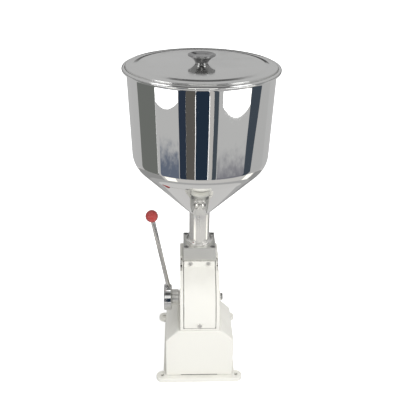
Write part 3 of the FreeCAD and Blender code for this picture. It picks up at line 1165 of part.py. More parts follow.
def hopper_parts():
    """The hopper: a wall with a blended foot and a rolled bead, the cone welded under it, and the cone's
    neck."""
    neck = "(pipe_radius - pipe_wall - hopper_neck_fit)"
    neck_inner = f"({neck} - hopper_wall)"
    cone_foot = "(pipe_top + hopper_neck_fit * 2)"
    slant = "(hopper_wall / sqrt(2))"
    weld_outer = (CORNER_FOOT_RADIUS, CORNER_FOOT)
    weld_inner = (f"{CORNER_FOOT_RADIUS} - {slant}", f"{CORNER_FOOT} + {slant}")
    body = turned("hopper", [
        (f"{RIM_RADIUS} - hopper_bead_radius + hopper_wall", BEAD_Z),
        ("hopper_mouth_radius", f"{BEAD_Z} - hopper_flare_drop"),
        (CORNER_TOP_RADIUS, "hopper_corner_top", "hopper_blend_radius", -1),
        weld_outer,
        (*weld_inner, "hopper_blend_radius - hopper_wall", 1),
        (f"{CORNER_TOP_RADIUS} - hopper_wall", "hopper_corner_top"),
        ("hopper_mouth_radius - hopper_wall", f"{BEAD_Z} - hopper_flare_drop"),
        (f"{RIM_RADIUS} - hopper_bead_radius", BEAD_Z)])
    turned("hopper_cone", [
        weld_outer, ("pipe_radius", cone_foot), (neck_inner, cone_foot),
        (neck_inner, f"{cone_foot} + {slant}"), weld_inner])
    turned("hopper_neck", ring_outline(neck_inner, neck, "pipe_top - hopper_neck_length", cone_foot))
    sketch = new_sketch(body, "bead_outline", "XZ")
    add_circle(sketch, RIM_RADIUS, BEAD_Z, "hopper_bead_radius")
    turn_about(body, "Revolution", "bead", sketch, "V_Axis")


def lid_parts():
    """The lid with its raised middle and locating skirt, its dished knob and the knob's screw."""
    skirt = "(hopper_mouth_radius - hopper_wall - lid_skirt_gap)"
    under = f"({LID_TOP} - lid_thickness)"
    edge = f"({LID_RADIUS} - lid_thickness)"
    step = f"({LID_RADIUS} - lid_step_inset)"
    hole = "(screw_radius + screw_clearance)"
    turned("lid", [
        (hole, KNOB_FOOT), (f"{step} - lid_step_run", KNOB_FOOT), (step, LID_TOP), (LID_RADIUS, LID_TOP),
        (LID_RADIUS, LID_EDGE_Z), (edge, LID_EDGE_Z), (edge, under), (skirt, under),
        (skirt, f"{under} - lid_skirt_depth"), (f"{skirt} - lid_thickness", f"{under} - lid_skirt_depth"),
        (f"{skirt} - lid_thickness", under), (step, under),
        (f"{step} - lid_step_run", f"{KNOB_FOOT} - lid_thickness"), (hole, f"{KNOB_FOOT} - lid_thickness")])
    dish = "(knob_rim_radius - knob_rim_land)"
    turned("lid_knob", [
        (hole, 0), ("knob_neck_radius", 0, "knob_flare_radius", -1),
        ("knob_rim_radius", "knob_height - knob_rim_height"), ("knob_rim_radius", "knob_height"),
        (dish, "knob_height", f"({dish} ^ 2 + knob_dish_depth ^ 2) / (2 * knob_dish_depth)", -1),
        (0, "knob_height - knob_dish_depth"), (0, "knob_screw_length"), (hole, "knob_screw_length")],
        z=KNOB_FOOT)
    group("knob_screw", [posed(screw("pan_head_radius", "pan_head_height", "knob_screw_length"),
                               0, 0, f"{KNOB_FOOT} - lid_thickness", "down")])


def discharge_parts():
    """The discharge elbow screwed into the block's front, its seal, ball and spring, and the spout."""
    body = new_body("discharge_elbow")
    start = "(block_half_depth - elbow_thread_length)"
    face = "(block_half_depth + seat_fit)"
    groove_end = f"({face} + outlet_seal_wire * 2)"
    collar_end = f"({face} + elbow_collar_length)"
    groove_radius = "elbow_neck_radius + outlet_seal_wire * 2 + outlet_seal_gap * 2"
    neck = [(start, 0), (start, "elbow_neck_radius"), (groove_end, "elbow_neck_radius"),
            (groove_end, groove_radius), (face, groove_radius), (face, "elbow_collar_radius"),
            (collar_end, "elbow_collar_radius"), (collar_end, "elbow_neck_radius"),
            ("elbow_reach", "elbow_neck_radius"), ("elbow_reach", 0)]
    turn_about(body, "Revolution", "neck", new_sketch(body, "neck_outline", "YZ", [neck]), "H_Axis")
    round_feature(body, "barrel", False, "barrel_radius", "barrel_length", 0, "elbow_reach", "barrel_crown",
                  "down")
    crown = edges_in(body.Tip, ("-barrel_radius", "elbow_reach - barrel_radius", "barrel_crown"),
                     ("barrel_radius", "elbow_reach + barrel_radius", "barrel_crown"))
    soften(body, "Fillet", "crown", crown, "barrel_crown / 4")
    round_feature(body, "bore", True, "outlet_bore_radius", f"elbow_reach - {start}", 0, start, 0, "front")
    round_feature(body, "drop", True, "outlet_bore_radius", "outlet_seat_drop", 0, "elbow_reach", 0, "down")
    round_feature(body, "chamber", True, "outlet_chamber_radius", "barrel_length", 0, "elbow_reach",
                  "-outlet_seat_drop", "down")
    place(body, 0, 0, OUTLET_Z)

    seal = new_body("discharge_seal")
    sketch = new_sketch(seal, "wire", "XZ")
    add_circle(sketch, "elbow_neck_radius + outlet_seal_wire + outlet_seal_gap", 0, "outlet_seal_wire")
    turn_about(seal, "Revolution", "ring", sketch, "V_Axis")
    place(seal, 0, "block_half_depth + outlet_seal_wire + seat_fit / 2", OUTLET_Z, "front")

    ball("discharge_ball", "outlet_ball_radius", 0, "elbow_reach", OUTLET_BALL_Z)
    reach = "sqrt((outlet_ball_radius + spring_wire_radius) ^ 2 - outlet_spring_radius ^ 2)"
    spring("discharge_spring", "outlet_spring_radius", f"{BARREL_FOOT} + spout_spigot_height",
           f"{OUTLET_BALL_Z} - {reach} + spring_wire_radius", 0, "elbow_reach")
    tip = "(0 - spout_collar_height - spout_length)"
    spigot = "(outlet_chamber_radius - seat_fit)"
    turned("spout", [
        ("spout_bore_radius", tip), ("spout_radius", tip), ("spout_radius", "-spout_collar_height"),
        ("spout_collar_radius", "-spout_collar_height"), ("spout_collar_radius", 0), (spigot, 0),
        (spigot, "spout_spigot_height"), ("spout_bore_radius", "spout_spigot_height")],
        0, "elbow_reach", BARREL_FOOT)


def guide_bush():
    """The bush in the base that guides the lower end of the rod."""
    inner = "(rod_radius + rod_guide_fit)"
    outer = f"({inner} + guide_bush_wall)"
    lip = f"({outer} + guide_bush_lip_reach)"
    turned("rod_guide_bush", [
        (inner, f"{BASE_TOP} - bridge_thickness"), (outer, f"{BASE_TOP} - bridge_thickness"),
        (outer, BASE_TOP),
        (lip, BASE_TOP), (lip, f"{BASE_TOP} + guide_bush_lip"), (inner, f"{BASE_TOP} + guide_bush_lip")])


def casing_screws():
    """The screws of the foot plate, the cover, the cheeks, the front wall and the block."""
    pan = screw("pan_head_radius", "pan_head_height", "short_screw_length")
    foot_z = "pan_head_height + screw_clearance * 2"
    group("foot_screws", [posed(pan, x, y, foot_z, "down") for x, y in FOOT_SCREWS])
    top_z = f"{COLUMN_TOP} + cover_rise - cover_screw_drop"
    places = [("-cover_screw_spread", f"-{COVER_OUTER}", top_z),
              ("cover_screw_spread", f"-{COVER_OUTER}", top_z),
              (0, f"-{COVER_FOOT_Y}", f"{COVER_BOTTOM} + cover_screw_rise")]
    group("cover_screws", [posed(pan, *spot, "rear") for spot in places])
    cap = screw("side_head_radius", "side_pocket_depth", "short_screw_length - side_pocket_depth")
    seat = "(column_half_width - side_pocket_depth)"
    group("side_screws", [posed(cap, "-" + seat, "-side_screw_setback", SIDE_SCREW_Z, "left"),
                          posed(cap, seat, "-side_screw_setback", SIDE_SCREW_Z, "right")])
    group("front_screws", [posed(pan, side + "side_screw_setback", "column_front_reach", SIDE_SCREW_Z,
                                 "front")
                           for side in ("-", "")])
    long = screw("socket_head_radius", "socket_head_height",
                 "block_height - socket_head_height + shelf_thickness")
    group("block_screws", [posed(long, x, y, f"{BLOCK_TOP} - socket_head_height") for x, y in BLOCK_SCREWS])


foot_plate()
body_casting()
rear_cover()
valve_block()
cylinder_parts()
rack_rod()
guide_bush()
pinion()
shaft_parts()
handle_parts()
dose_stop()
feed_valve()
feed_pipe()
hopper_parts()
lid_parts()
discharge_parts()
casing_screws()
document.recompute()

faults = [item.Label for item in document.Objects if {"Invalid", "Error"} & set(item.State)]
faults += [item.Label for item in parts if item.Shape.isNull() or not item.Shape.isValid()]
if faults:
    raise RuntimeError("these did not build: " + ", ".join(faults))
os.makedirs("parts", exist_ok=True)
for item in parts:
    item.Shape.exportStep(f"parts/{item.Label}.step")
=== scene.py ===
"""Manual liquid filling machine: the finished surfaces, their materials and a plain studio, on the CAD
frame."""
import math

import bpy
import numpy as np
from bpy.props import FloatProperty, FloatVectorProperty, IntProperty, PointerProperty
from mathutils import Matrix, Vector


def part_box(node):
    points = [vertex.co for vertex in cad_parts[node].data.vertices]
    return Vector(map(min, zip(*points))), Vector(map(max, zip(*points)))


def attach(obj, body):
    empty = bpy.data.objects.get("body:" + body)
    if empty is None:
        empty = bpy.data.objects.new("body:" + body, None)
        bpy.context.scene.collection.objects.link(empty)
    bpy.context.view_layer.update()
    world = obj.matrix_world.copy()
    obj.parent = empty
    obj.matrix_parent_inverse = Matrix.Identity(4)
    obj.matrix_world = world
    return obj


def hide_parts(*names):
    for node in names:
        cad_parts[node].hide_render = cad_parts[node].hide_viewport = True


bl_info = {
    "name": "Manual liquid filling machine",
    "version": (1, 0, 0),
    "blender": (4, 5, 0),
    "location": "3D View > Sidebar > Filler",
    "description": "Builds the surfaces, materials and studio of a hand-lever liquid filling machine",
    "category": "Object",
}

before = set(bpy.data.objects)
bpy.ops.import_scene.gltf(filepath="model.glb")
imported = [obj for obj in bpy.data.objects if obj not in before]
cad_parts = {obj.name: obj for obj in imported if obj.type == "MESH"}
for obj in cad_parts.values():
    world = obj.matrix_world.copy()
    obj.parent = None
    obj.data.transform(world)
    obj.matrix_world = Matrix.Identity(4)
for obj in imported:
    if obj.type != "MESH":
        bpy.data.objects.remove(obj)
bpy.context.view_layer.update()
MM = 0.001
ROUND = 2 * math.pi


def node_box(node):
    """The lowest and highest corner of a CAD node, as arrays."""
    low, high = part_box(node)
    return np.array(low), np.array(high)


def node_middle(node):
    """The middle of a CAD node's box."""
    low, high = node_box(node)
    return (low + high) / 2


def length(title, words, millimetres):
    """A size property shown in the scene's length unit."""
    return FloatProperty(name=title, description=words, default=millimetres * MM, subtype="DISTANCE",
                         unit="LENGTH", precision=5)


def paint(title, words, colour):
    """A colour property."""
    return FloatVectorProperty(name=title, description=words, default=colour, size=3, min=0, max=1,
                               subtype="COLOR")


class FillerSizes(bpy.types.PropertyGroup):
    """Sizes that the surfaces need besides the ones read from the frame."""
    round_steps: IntProperty(name="Round steps", description="Faces round a large turned piece",
                             default=192, min=24)
    hopper_wall: length("Hopper wall", "Thickness of the hopper's sheet", 1.2)
    bead_radius: length("Bead radius", "Radius of the rolled rim's section", 3.7)
    mouth_radius: length("Mouth radius", "Outside radius of the hopper just under its rim", 132)
    corner_radius: length("Corner radius", "Outside radius where the wall would meet the cone", 126.7)
    corner_height: length("Corner height", "Height where the wall would meet the cone", 451.4)
    blend_radius: length("Blend radius", "Radius of the bend between the wall and the cone", 42.8)
    lid_thickness: length("Lid thickness", "Thickness of the lid's sheet", 1.5)
    lid_step_outer: length("Lid step outer", "Radius where the lid's step starts", 120)
    lid_step_inner: length("Lid step inner", "Radius where the lid's raised middle starts", 112)
    lid_step_height: length("Lid step height", "Rise of the lid's middle", 1.2)
    lid_skirt_radius: length("Lid skirt radius", "Outside radius of the skirt inside the mouth", 130)
    knob_neck_radius: length("Knob neck", "Radius of the knob's neck", 11.35)
    knob_dish_depth: length("Knob dish", "Depth of the dish in the knob's top", 3)
    flange_thickness: length("Flange thickness", "Thickness of the feed pipe's flange", 6)
    pipe_radius: length("Pipe radius", "Outside radius of the feed pipe", 20.4)
    pipe_wall: length("Pipe wall", "Thickness of the feed pipe's wall", 2.2)
    lever_tilt: FloatProperty(name="Lever tilt", description="Outward lean of the handle rod",
                              default=math.radians(10.4), subtype="ANGLE", unit="ROTATION")


class FillerColours(bpy.types.PropertyGroup):
    """Colours of the finishes."""
    body: paint("Body paint", "Cream-white paint of the casting", (0.87, 0.86, 0.80))
    block: paint("Block steel", "Satin ground steel of the block", (0.90, 0.90, 0.865))
    mirror: paint("Polished steel", "Mirror-polished stainless steel", (0.86, 0.86, 0.85))
    lid: paint("Lid steel", "Polished sheet of the lid", (0.85, 0.85, 0.84))
    pipe: paint("Pipe steel", "Drawn and polished steel of the feed pipe", (0.92, 0.91, 0.88))
    knob: paint("Knob steel", "Darker steel of the lid's knob", (0.42, 0.42, 0.42))
    rod: paint("Rod steel", "Plain drawn steel of the handle rod", (0.66, 0.65, 0.63))
    turned: paint("Turned steel", "Bright turned steel", (0.74, 0.74, 0.74))
    dark_steel: paint("Machined steel", "Oiled machined steel of the gear", (0.42, 0.42, 0.43))
    screw: paint("Screw steel", "Plain screws", (0.52, 0.52, 0.505))
    bronze: paint("Bronze", "Bearing bronze", (0.60, 0.41, 0.19))
    ball: paint("Handle ball", "Glossy red of the ball", (0.47, 0.055, 0.05))
    rubber: paint("Rubber", "Black seal rubber", (0.02, 0.02, 0.02))
    floor: paint("Floor", "Pale studio floor", (0.9, 0.9, 0.9))


# Mesh surfaces

SHARP_MADE = math.radians(35)
SHARP_COPIED = math.radians(30)
WELD_STEPS = 1e6  # Places per metre that a point can be told apart in


def ring_points(reach, height, angle):
    """Points (r cos a, r sin a, z) for each row's radius r and height z, and each column's angle a."""
    reach, height = np.broadcast_arrays(reach, height)
    return np.stack([reach * np.cos(angle), reach * np.sin(angle), height + 0 * angle], axis=-1)


def revolve_points(profile, steps):
    """Each profile point (r, z) carried once round Z: (r cos a, r sin a, z) for even steps of the angle a."""
    radius, height = np.asarray(profile, float).T[:, :, None]
    return ring_points(radius, height, np.linspace(0, ROUND, steps + 1))


def grid_faces(rows, columns):
    """The four corners of every cell of a grid of points."""
    index = np.arange(rows * columns).reshape(rows, columns)
    corners = (index[:-1, :-1], index[:-1, 1:], index[1:, 1:], index[1:, :-1])
    return np.stack(corners, axis=-1).reshape(-1, 4)


def weld(points):
    """Joins the points that lie within a micrometre. Returns the points kept and each old point's new
    number."""
    places = np.round(points * WELD_STEPS).astype(np.int64)
    first, number = np.unique(places, axis=0, return_index=True, return_inverse=True)[1:]
    return points[first], number.reshape(-1)


def surface_mesh(name, grids):
    """One closed mesh from grids of points. Seams and poles are welded, faces turned outwards and shaded
    smooth except across sharp edges. The UV map holds the distance round and along each grid."""
    points, quads, spots, offset = [], [], [], 0
    for grid in grids:
        rows, columns = grid.shape[:2]
        along = np.linalg.norm(np.diff(grid, axis=0), axis=-1).mean(axis=1)
        across = np.linalg.norm(np.diff(grid, axis=1), axis=-1).max(axis=0)
        v = np.concatenate([[0], np.cumsum(along)])
        u = np.concatenate([[0], np.cumsum(across)])
        spots.append(np.stack(np.meshgrid(u, v), axis=-1).reshape(-1, 2))
        points.append(grid.reshape(-1, 3))
        quads.append(grid_faces(rows, columns) + offset)
        offset += rows * columns
    points, quads, spots = np.concatenate(points), np.concatenate(quads), np.concatenate(spots)
    kept, number = weld(points)
    welded = number[quads]
    repeated = welded == np.roll(welded, -1, axis=1)
    whole = quads[repeated.sum(axis=1) == 0]
    tips = repeated.sum(axis=1) == 1
    triangles = quads[tips][~repeated[tips]].reshape(-1, 3)
    corners = [number[whole], number[triangles]]
    volume = sum(np.einsum("ij,ij->", kept[f[:, 0]], np.cross(kept[f[:, k]], kept[f[:, k + 1]]))
                 for f in corners for k in range(1, f.shape[1] - 1))
    if volume < 0:
        whole, triangles = whole[:, ::-1], triangles[:, ::-1]
    mesh = bpy.data.meshes.new(name)
    mesh.from_pydata(kept.tolist(), [], number[whole].tolist() + number[triangles].tolist())
    layer = mesh.uv_layers.new(name="surface")
    layer.data.foreach_set("uv", np.concatenate([spots[whole].reshape(-1), spots[triangles].reshape(-1)]))
    mesh.shade_smooth()
    mesh.set_sharp_from_angle(angle=SHARP_MADE)
    return mesh


def rounded(corners, steps):
    """A path through (r, z) corners. A third value rounds that corner with an arc of that radius."""
    path = []
    for index, corner in enumerate(corners):
        here = np.array(corner[:2], float)
        if len(corner) == 2 or index in (0, len(corners) - 1):
            path.append(here[None])
            continue
        before = np.array(corners[index - 1][:2], float) - here
        after = np.array(corners[index + 1][:2], float) - here
        before, after = before / np.linalg.norm(before), after / np.linalg.norm(after)
        half = math.acos(np.clip(before @ after, -1, 1)) / 2
        centre = here + (before + after) / np.linalg.norm(before + after) * corner[2] / math.sin(half)
        start = here + before * corner[2] / math.tan(half) - centre
        end = here + after * corner[2] / math.tan(half) - centre
        share = np.linspace(0, 1, steps + 1)[:, None]
        turn = math.pi - 2 * half
        sweep = np.sin((1 - share) * turn) * start + np.sin(share * turn) * end
        path.append(centre + sweep / math.sin(turn))
    return np.concatenate(path)


def closed(path):
    """A path that ends where it starts."""
    return np.concatenate([path, path[:1]])


def towards(points, place, turn):
    """Points turned and then moved to their place."""
    return points @ np.array(turn.to_3x3()).T + np.array(place)


UP = Matrix.Identity(3)
DOWN = Matrix.Rotation(math.pi, 3, "X")
LEFT = Matrix.Rotation(-math.pi / 2, 3, "Y")
RIGHT = Matrix.Rotation(math.pi / 2, 3, "Y")
FRONT = Matrix.Rotation(-math.pi / 2, 3, "X")
REAR = Matrix.Rotation(math.pi / 2, 3, "X")


def finish_piece(name, mesh, look, slot, body, *nodes):
    """Puts a mesh in the scene with a finish, as a piece that rides on a body and stands for CAD nodes."""
    piece = bpy.data.objects.new(name, mesh)
    bpy.context.scene.collection.objects.link(piece)
    mesh.materials.append(finish(look))
    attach(piece, body)
    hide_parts(*nodes)


def made_piece(name, grids, look, slot, body, *nodes):
    """A piece made from grids of points."""
    finish_piece(name, surface_mesh(name, grids), look, slot, body, *nodes)


def copied_piece(node, ending, look, slot, body="machine", axis=None):
    """A piece made from a CAD node's own surface."""
    finish_piece(node + ending, smooth_copy(node, axis), look, slot, body, node)


def welded_node(node):
    """A CAD node's points with its loose triangles joined, and the triangles."""
    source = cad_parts[node].data
    points = np.empty(len(source.vertices) * 3)
    source.vertices.foreach_get("co", points)
    source.calc_loop_triangles()
    triangles = np.empty(len(source.loop_triangles) * 3, dtype=np.int32)
    source.loop_triangles.foreach_get("vertices", triangles)
    kept, number = weld(points.reshape(-1, 3))
    faces = number[triangles.reshape(-1, 3)]
    whole = (faces[:, 0] != faces[:, 1]) & (faces[:, 1] != faces[:, 2]) & (faces[:, 2] != faces[:, 0])
    return kept, faces[whole]


def smooth_copy(node, axis=None):
    """A CAD node's own surface, welded so that its rounds shade smooth. With an axis it gets a map for lathe
    marks: u is the angle times the distance from the axis, and v is that distance plus the distance along the
    axis."""
    kept, faces = welded_node(node)
    mesh = bpy.data.meshes.new(node + "_surface")
    mesh.from_pydata(kept.tolist(), [], faces.tolist())
    if axis is not None:
        along = np.array(axis, float)
        side = np.roll(along, 1)
        reach = kept - node_middle(node)
        height = reach @ along
        flat = reach - height[:, None] * along
        away = np.linalg.norm(flat, axis=1)
        angle = np.arctan2(flat @ np.cross(along, side), flat @ side)
        spots = np.stack([angle * away, away + height], axis=-1)
        layer = mesh.uv_layers.new(name="surface")
        layer.data.foreach_set("uv", spots[faces.reshape(-1)].reshape(-1))
    mesh.shade_smooth()
    mesh.set_sharp_from_angle(angle=SHARP_COPIED)
    return mesh


# Shader groups

FLOAT, VECTOR = "NodeSocketFloat", "NodeSocketVector"


def connect(tree, node, links):
    """Gives a node's inputs their values or other nodes' outputs."""
    for key, source in links.items():
        if isinstance(source, bpy.types.NodeSocket):
            tree.links.new(source, node.inputs[key])
        else:
            node.inputs[key].default_value = source
    return node


def add_node(tree, kind, links=None, **settings):
    """A new node. Settings name its attributes, and links its inputs."""
    node = tree.nodes.new(kind)
    for key, setting in settings.items():
        setattr(node, key, setting)
    return connect(tree, node, links or {})


def new_group(name, inputs, outputs):
    """A shader node group with its sockets: each input's starting value and each output's kind. Returns the
    tree, the values that it is given, and the sockets that take its results."""
    tree = bpy.data.node_groups.new(name, "ShaderNodeTree")
    for label, start in inputs.items():
        kind = FLOAT if isinstance(start, float) else VECTOR
        tree.interface.new_socket(name=label, in_out="INPUT", socket_type=kind).default_value = start
    for label, kind in outputs.items():
        tree.interface.new_socket(name=label, in_out="OUTPUT", socket_type=kind)
    return tree, tree.nodes.new("NodeGroupInput").outputs, tree.nodes.new("NodeGroupOutput").inputs


def math_node(tree, operation, first, second, clamp=False):
    """The result of a two-value calculation."""
    return add_node(tree, "ShaderNodeMath", {0: first, 1: second}, operation=operation,
                    use_clamp=clamp).outputs[0]


def ramp(tree, factor, low, high, low_value=0.0, high_value=1.0):
    """A value carried smoothly from one range to another and held at both ends."""
    return add_node(tree, "ShaderNodeMapRange", {"Value": factor, "From Min": low, "From Max": high,
                                                 "To Min": low_value, "To Max": high_value},
                    interpolation_type="SMOOTHSTEP").outputs["Result"]


def noise(tree, spot, scale, detail, **more):
    """The value of a noise. More names further inputs of its node."""
    links = {"Vector": spot, "Scale": scale, "Detail": detail, **more}
    return add_node(tree, "ShaderNodeTexNoise", links).outputs["Fac"]


def smudge_group():
    """Handling marks: two sizes of noise give a slow change of roughness and a faint waviness of the
    sheet."""
    tree, given, results = new_group("Smudges", {"Vector": (0.0, 0.0, 0.0), "Scale": 20.0, "Low": 0.05,
                                                 "High": 0.15}, {"Roughness": FLOAT, "Wave": FLOAT})
    broad = noise(tree, given["Vector"], given["Scale"], 5.0, Roughness=0.6)
    spread = math_node(tree, "SUBTRACT", given["High"], given["Low"])
    rise = math_node(tree, "MULTIPLY", ramp(tree, broad, 0.35, 0.7), spread)
    tree.links.new(math_node(tree, "ADD", given["Low"], rise), results["Roughness"])
    tree.links.new(noise(tree, given["Vector"], 9.0, 1.0), results["Wave"])
    return tree


def stroke_group():
    """Fine parallel marks of a lathe, grinder or brush: noise stretched far more along one direction."""
    tree, given, results = new_group("Strokes", {"Vector": (0.0, 0.0, 0.0), "Stretch": (1.0, 1.0, 1.0),
                                                 "Scale": 900.0}, {"Height": FLOAT})
    stretched = add_node(tree, "ShaderNodeVectorMath", {0: given["Vector"], 1: given["Stretch"]},
                         operation="MULTIPLY")
    marks = noise(tree, stretched.outputs[0], given["Scale"], 3.0, Roughness=0.65)
    tree.links.new(marks, results["Height"])
    return tree


def wear_group():
    """Rubbed edges: the normal of a small bevel is compared with the surface's own, and noise breaks up the
    mask."""
    tree, given, results = new_group("EdgeWear", {"Vector": (0.0, 0.0, 0.0), "Radius": 0.0012,
                                                  "Scale": 220.0,
                                                  "Amount": 0.5}, {"Mask": FLOAT, "Normal": VECTOR})
    bevel = add_node(tree, "ShaderNodeBevel", {"Radius": given["Radius"]}, samples=6).outputs[0]
    own = add_node(tree, "ShaderNodeNewGeometry").outputs["Normal"]
    likeness = add_node(tree, "ShaderNodeVectorMath", {0: bevel, 1: own}, operation="DOT_PRODUCT")
    edge = ramp(tree, likeness.outputs["Value"], 0.995, 0.85)
    broken = ramp(tree, noise(tree, given["Vector"], given["Scale"], 4.0, Roughness=0.7), 0.62, 0.5)
    mask = math_node(tree, "MULTIPLY", math_node(tree, "MULTIPLY", edge, broken), given["Amount"])
    tree.links.new(mask, results["Mask"])
    tree.links.new(bevel, results["Normal"])
    return tree


def dust_group():
    """Faint dust on faces that look up, patchy with noise."""
    tree, given, results = new_group("Dust", {"Vector": (0.0, 0.0, 0.0), "Amount": 0.1}, {"Mask": FLOAT})
    own = add_node(tree, "ShaderNodeNewGeometry").outputs["Normal"]
    facing = ramp(tree, add_node(tree, "ShaderNodeSeparateXYZ", {0: own}).outputs["Z"], 0.3, 1.0)
    patches = ramp(tree, noise(tree, given["Vector"], 35.0, 6.0), 0.4, 0.65)
    mask = math_node(tree, "MULTIPLY", math_node(tree, "MULTIPLY", patches, facing), given["Amount"])
    tree.links.new(mask, results["Mask"])
    return tree


def gap_shade_group():
    """Painted shade in narrow gaps: dark wherever other surfaces stand within a short distance all round a
    point.
    """
    tree, given, results = new_group("Crevices", {"Distance": 0.004, "Low": 0.2, "High": 0.6},
                                     {"Mask": FLOAT})
    # Ambient occlusion turns the paint dark in narrow gaps and inside corners: painted shade.
    open_share = add_node(tree, "ShaderNodeAmbientOcclusion", {"Distance": given["Distance"]}, samples=8)
    tree.links.new(ramp(tree, open_share.outputs["AO"], given["Low"], given["High"], 1.0, 0.0),
                   results["Mask"])
    return tree


GROUPS = {"Smudges": smudge_group, "Strokes": stroke_group, "EdgeWear": wear_group, "Dust": dust_group,
          "Crevices": gap_shade_group}


def place_group(tree, name, links):
    """Places a shader group in a material. Its tree is built the first time that it is asked for."""
    node = tree.nodes.new("ShaderNodeGroup")
    node.node_tree = bpy.data.node_groups.get(name) or GROUPS[name]()
    return connect(tree, node, links)


# Materials

PREFIX = "filler_"
# Width of the painted shade line along the rear cover's sides and foot.
SEAM_SHADE_WIDTH = 1.2 * MM
DUST_COLOUR = (0.55, 0.53, 0.48)
# Near-black colour of the painted shade in gaps and along the rear cover's seams.
PAINTED_SHADE_COLOUR = (0.06, 0.058, 0.05)


def new_material(name, colour, metallic=0.0, roughness=0.4):
    """A material with its Principled shader, its tree and its Object coordinates."""
    material = bpy.data.materials.new(PREFIX + name)
    material.use_nodes = True
    tree = material.node_tree
    shader = tree.nodes["Principled BSDF"]
    shader.inputs["Base Color"].default_value = (*colour, 1)
    shader.inputs["Metallic"].default_value = metallic
    shader.inputs["Roughness"].default_value = roughness
    spot = add_node(tree, "ShaderNodeTexCoord").outputs["Object"]
    return material, tree, shader, spot


def surface_spot(tree):
    """The piece's own UV map, in metres round and along it, as a vector."""
    return add_node(tree, "ShaderNodeUVMap", uv_map="surface").outputs["UV"]


def bump(tree, shader, height, distance, strength=1.0, normal=None):
    """Feeds a height through a Bump node into the shader's normal."""
    links = {"Height": height, "Distance": distance, "Strength": strength}
    if normal is not None:
        links["Normal"] = normal
    node = add_node(tree, "ShaderNodeBump", links)
    tree.links.new(node.outputs["Normal"], shader.inputs["Normal"])


def mixed(tree, factor, first, second):
    """A colour between two, by a factor that changes over the surface."""
    sides = [side if isinstance(side, bpy.types.NodeSocket) else (*side, 1) for side in (first, second)]
    return add_node(tree, "ShaderNodeMix", {0: factor, 6: sides[0], 7: sides[1]},
                    data_type="RGBA").outputs[2]


def shaded(colour, share):
    """A colour made darker or brighter by a share, up to full white."""
    return tuple(min(1.0, channel * share) for channel in colour)


def smudged(tree, shader, spot, scale, low, high):
    """Smudges that carry the shader's roughness between two values. Returns the smudges' node."""
    smudges = place_group(tree, "Smudges", {"Vector": spot, "Scale": scale, "Low": low, "High": high})
    tree.links.new(smudges.outputs["Roughness"], shader.inputs["Roughness"])
    return smudges


def grain(tree, spot, stretch, scale):
    """The height of fine marks, drawn out along the first direction."""
    links = {"Vector": spot, "Stretch": (stretch, 1.0, 1.0), "Scale": scale}
    return place_group(tree, "Strokes", links).outputs["Height"]


def mirror_steel(name, colour, low, high, wave):
    """Polished sheet steel: slow waves in the sheet, smudges, and very fine polishing marks that run round
    it."""
    material, tree, shader, spot = new_material(name, colour, 1.0, low)
    smudges = smudged(tree, shader, spot, 14.0, low, high)
    marks = math_node(tree, "MULTIPLY", grain(tree, surface_spot(tree), 0.012, 1400.0), 0.003)
    waves = math_node(tree, "MULTIPLY", smudges.outputs["Wave"], wave)
    bump(tree, shader, math_node(tree, "ADD", waves, marks), 0.0012, 0.55)
    return material


def satin_steel(name, colour, low, high, metallic=1.0):
    """Spun or drawn steel with a fine brushed grain round it, and a satin between two roughnesses."""
    material, tree, shader, spot = new_material(name, colour, metallic, low)
    smudged(tree, shader, spot, 70.0, low, high)
    bump(tree, shader, grain(tree, surface_spot(tree), 0.03, 1800.0), 0.00012, 0.3)
    return material


def turned_steel(name, colour):
    """Bright turned steel with the finer grooves of the lathe."""
    material, tree, shader, spot = new_material(name, colour, 1.0, 0.2)
    smudged(tree, shader, spot, 60.0, 0.05, 0.16)
    bump(tree, shader, grain(tree, surface_spot(tree), 0.02, 2200.0), 0.00012, 0.35)
    return material


def flat_steel(name, colour, rough, wear):
    """Machined steel: grinding lines along X, a satin that changes slowly, and brighter rubbed edges."""
    material, tree, shader, spot = new_material(name, colour, 1.0, rough)
    smudged(tree, shader, spot, 45.0, rough - 0.06, rough + 0.1)
    edges = place_group(tree, "EdgeWear", {"Vector": spot, "Radius": 0.0006, "Scale": 300.0,
                                           "Amount": wear})
    bright = mixed(tree, edges.outputs["Mask"], colour, shaded(colour, 1.5))
    tree.links.new(bright, shader.inputs["Base Color"])
    bump(tree, shader, grain(tree, spot, 0.05, 1500.0), 0.00015, 0.4, edges.outputs["Normal"])
    return material


def seam_shade_mask(tree, spot, node):
    """Painted shade in a thin uneven line along a sheet's two sides and its foot, from its distance to them.
    """
    low, high = node_box(node)
    parts = add_node(tree, "ShaderNodeSeparateXYZ", {0: spot})
    across = math_node(tree, "ABSOLUTE", parts.outputs["X"], 0.0)
    side = ramp(tree, across, high[0] - SEAM_SHADE_WIDTH, high[0] - SEAM_SHADE_WIDTH / 3)
    foot = ramp(tree, parts.outputs["Z"], low[2] + SEAM_SHADE_WIDTH, low[2] + SEAM_SHADE_WIDTH / 3)
    uneven = ramp(tree, noise(tree, spot, 40.0, 3.0), 0.35, 0.65, 0.45, 1.0)
    return math_node(tree, "MULTIPLY", math_node(tree, "MAXIMUM", side, foot), uneven)


def coated(shader, weight, roughness):
    """A clear coat over the whole surface."""
    shader.inputs["Coat Weight"].default_value = weight
    shader.inputs["Coat Roughness"].default_value = roughness


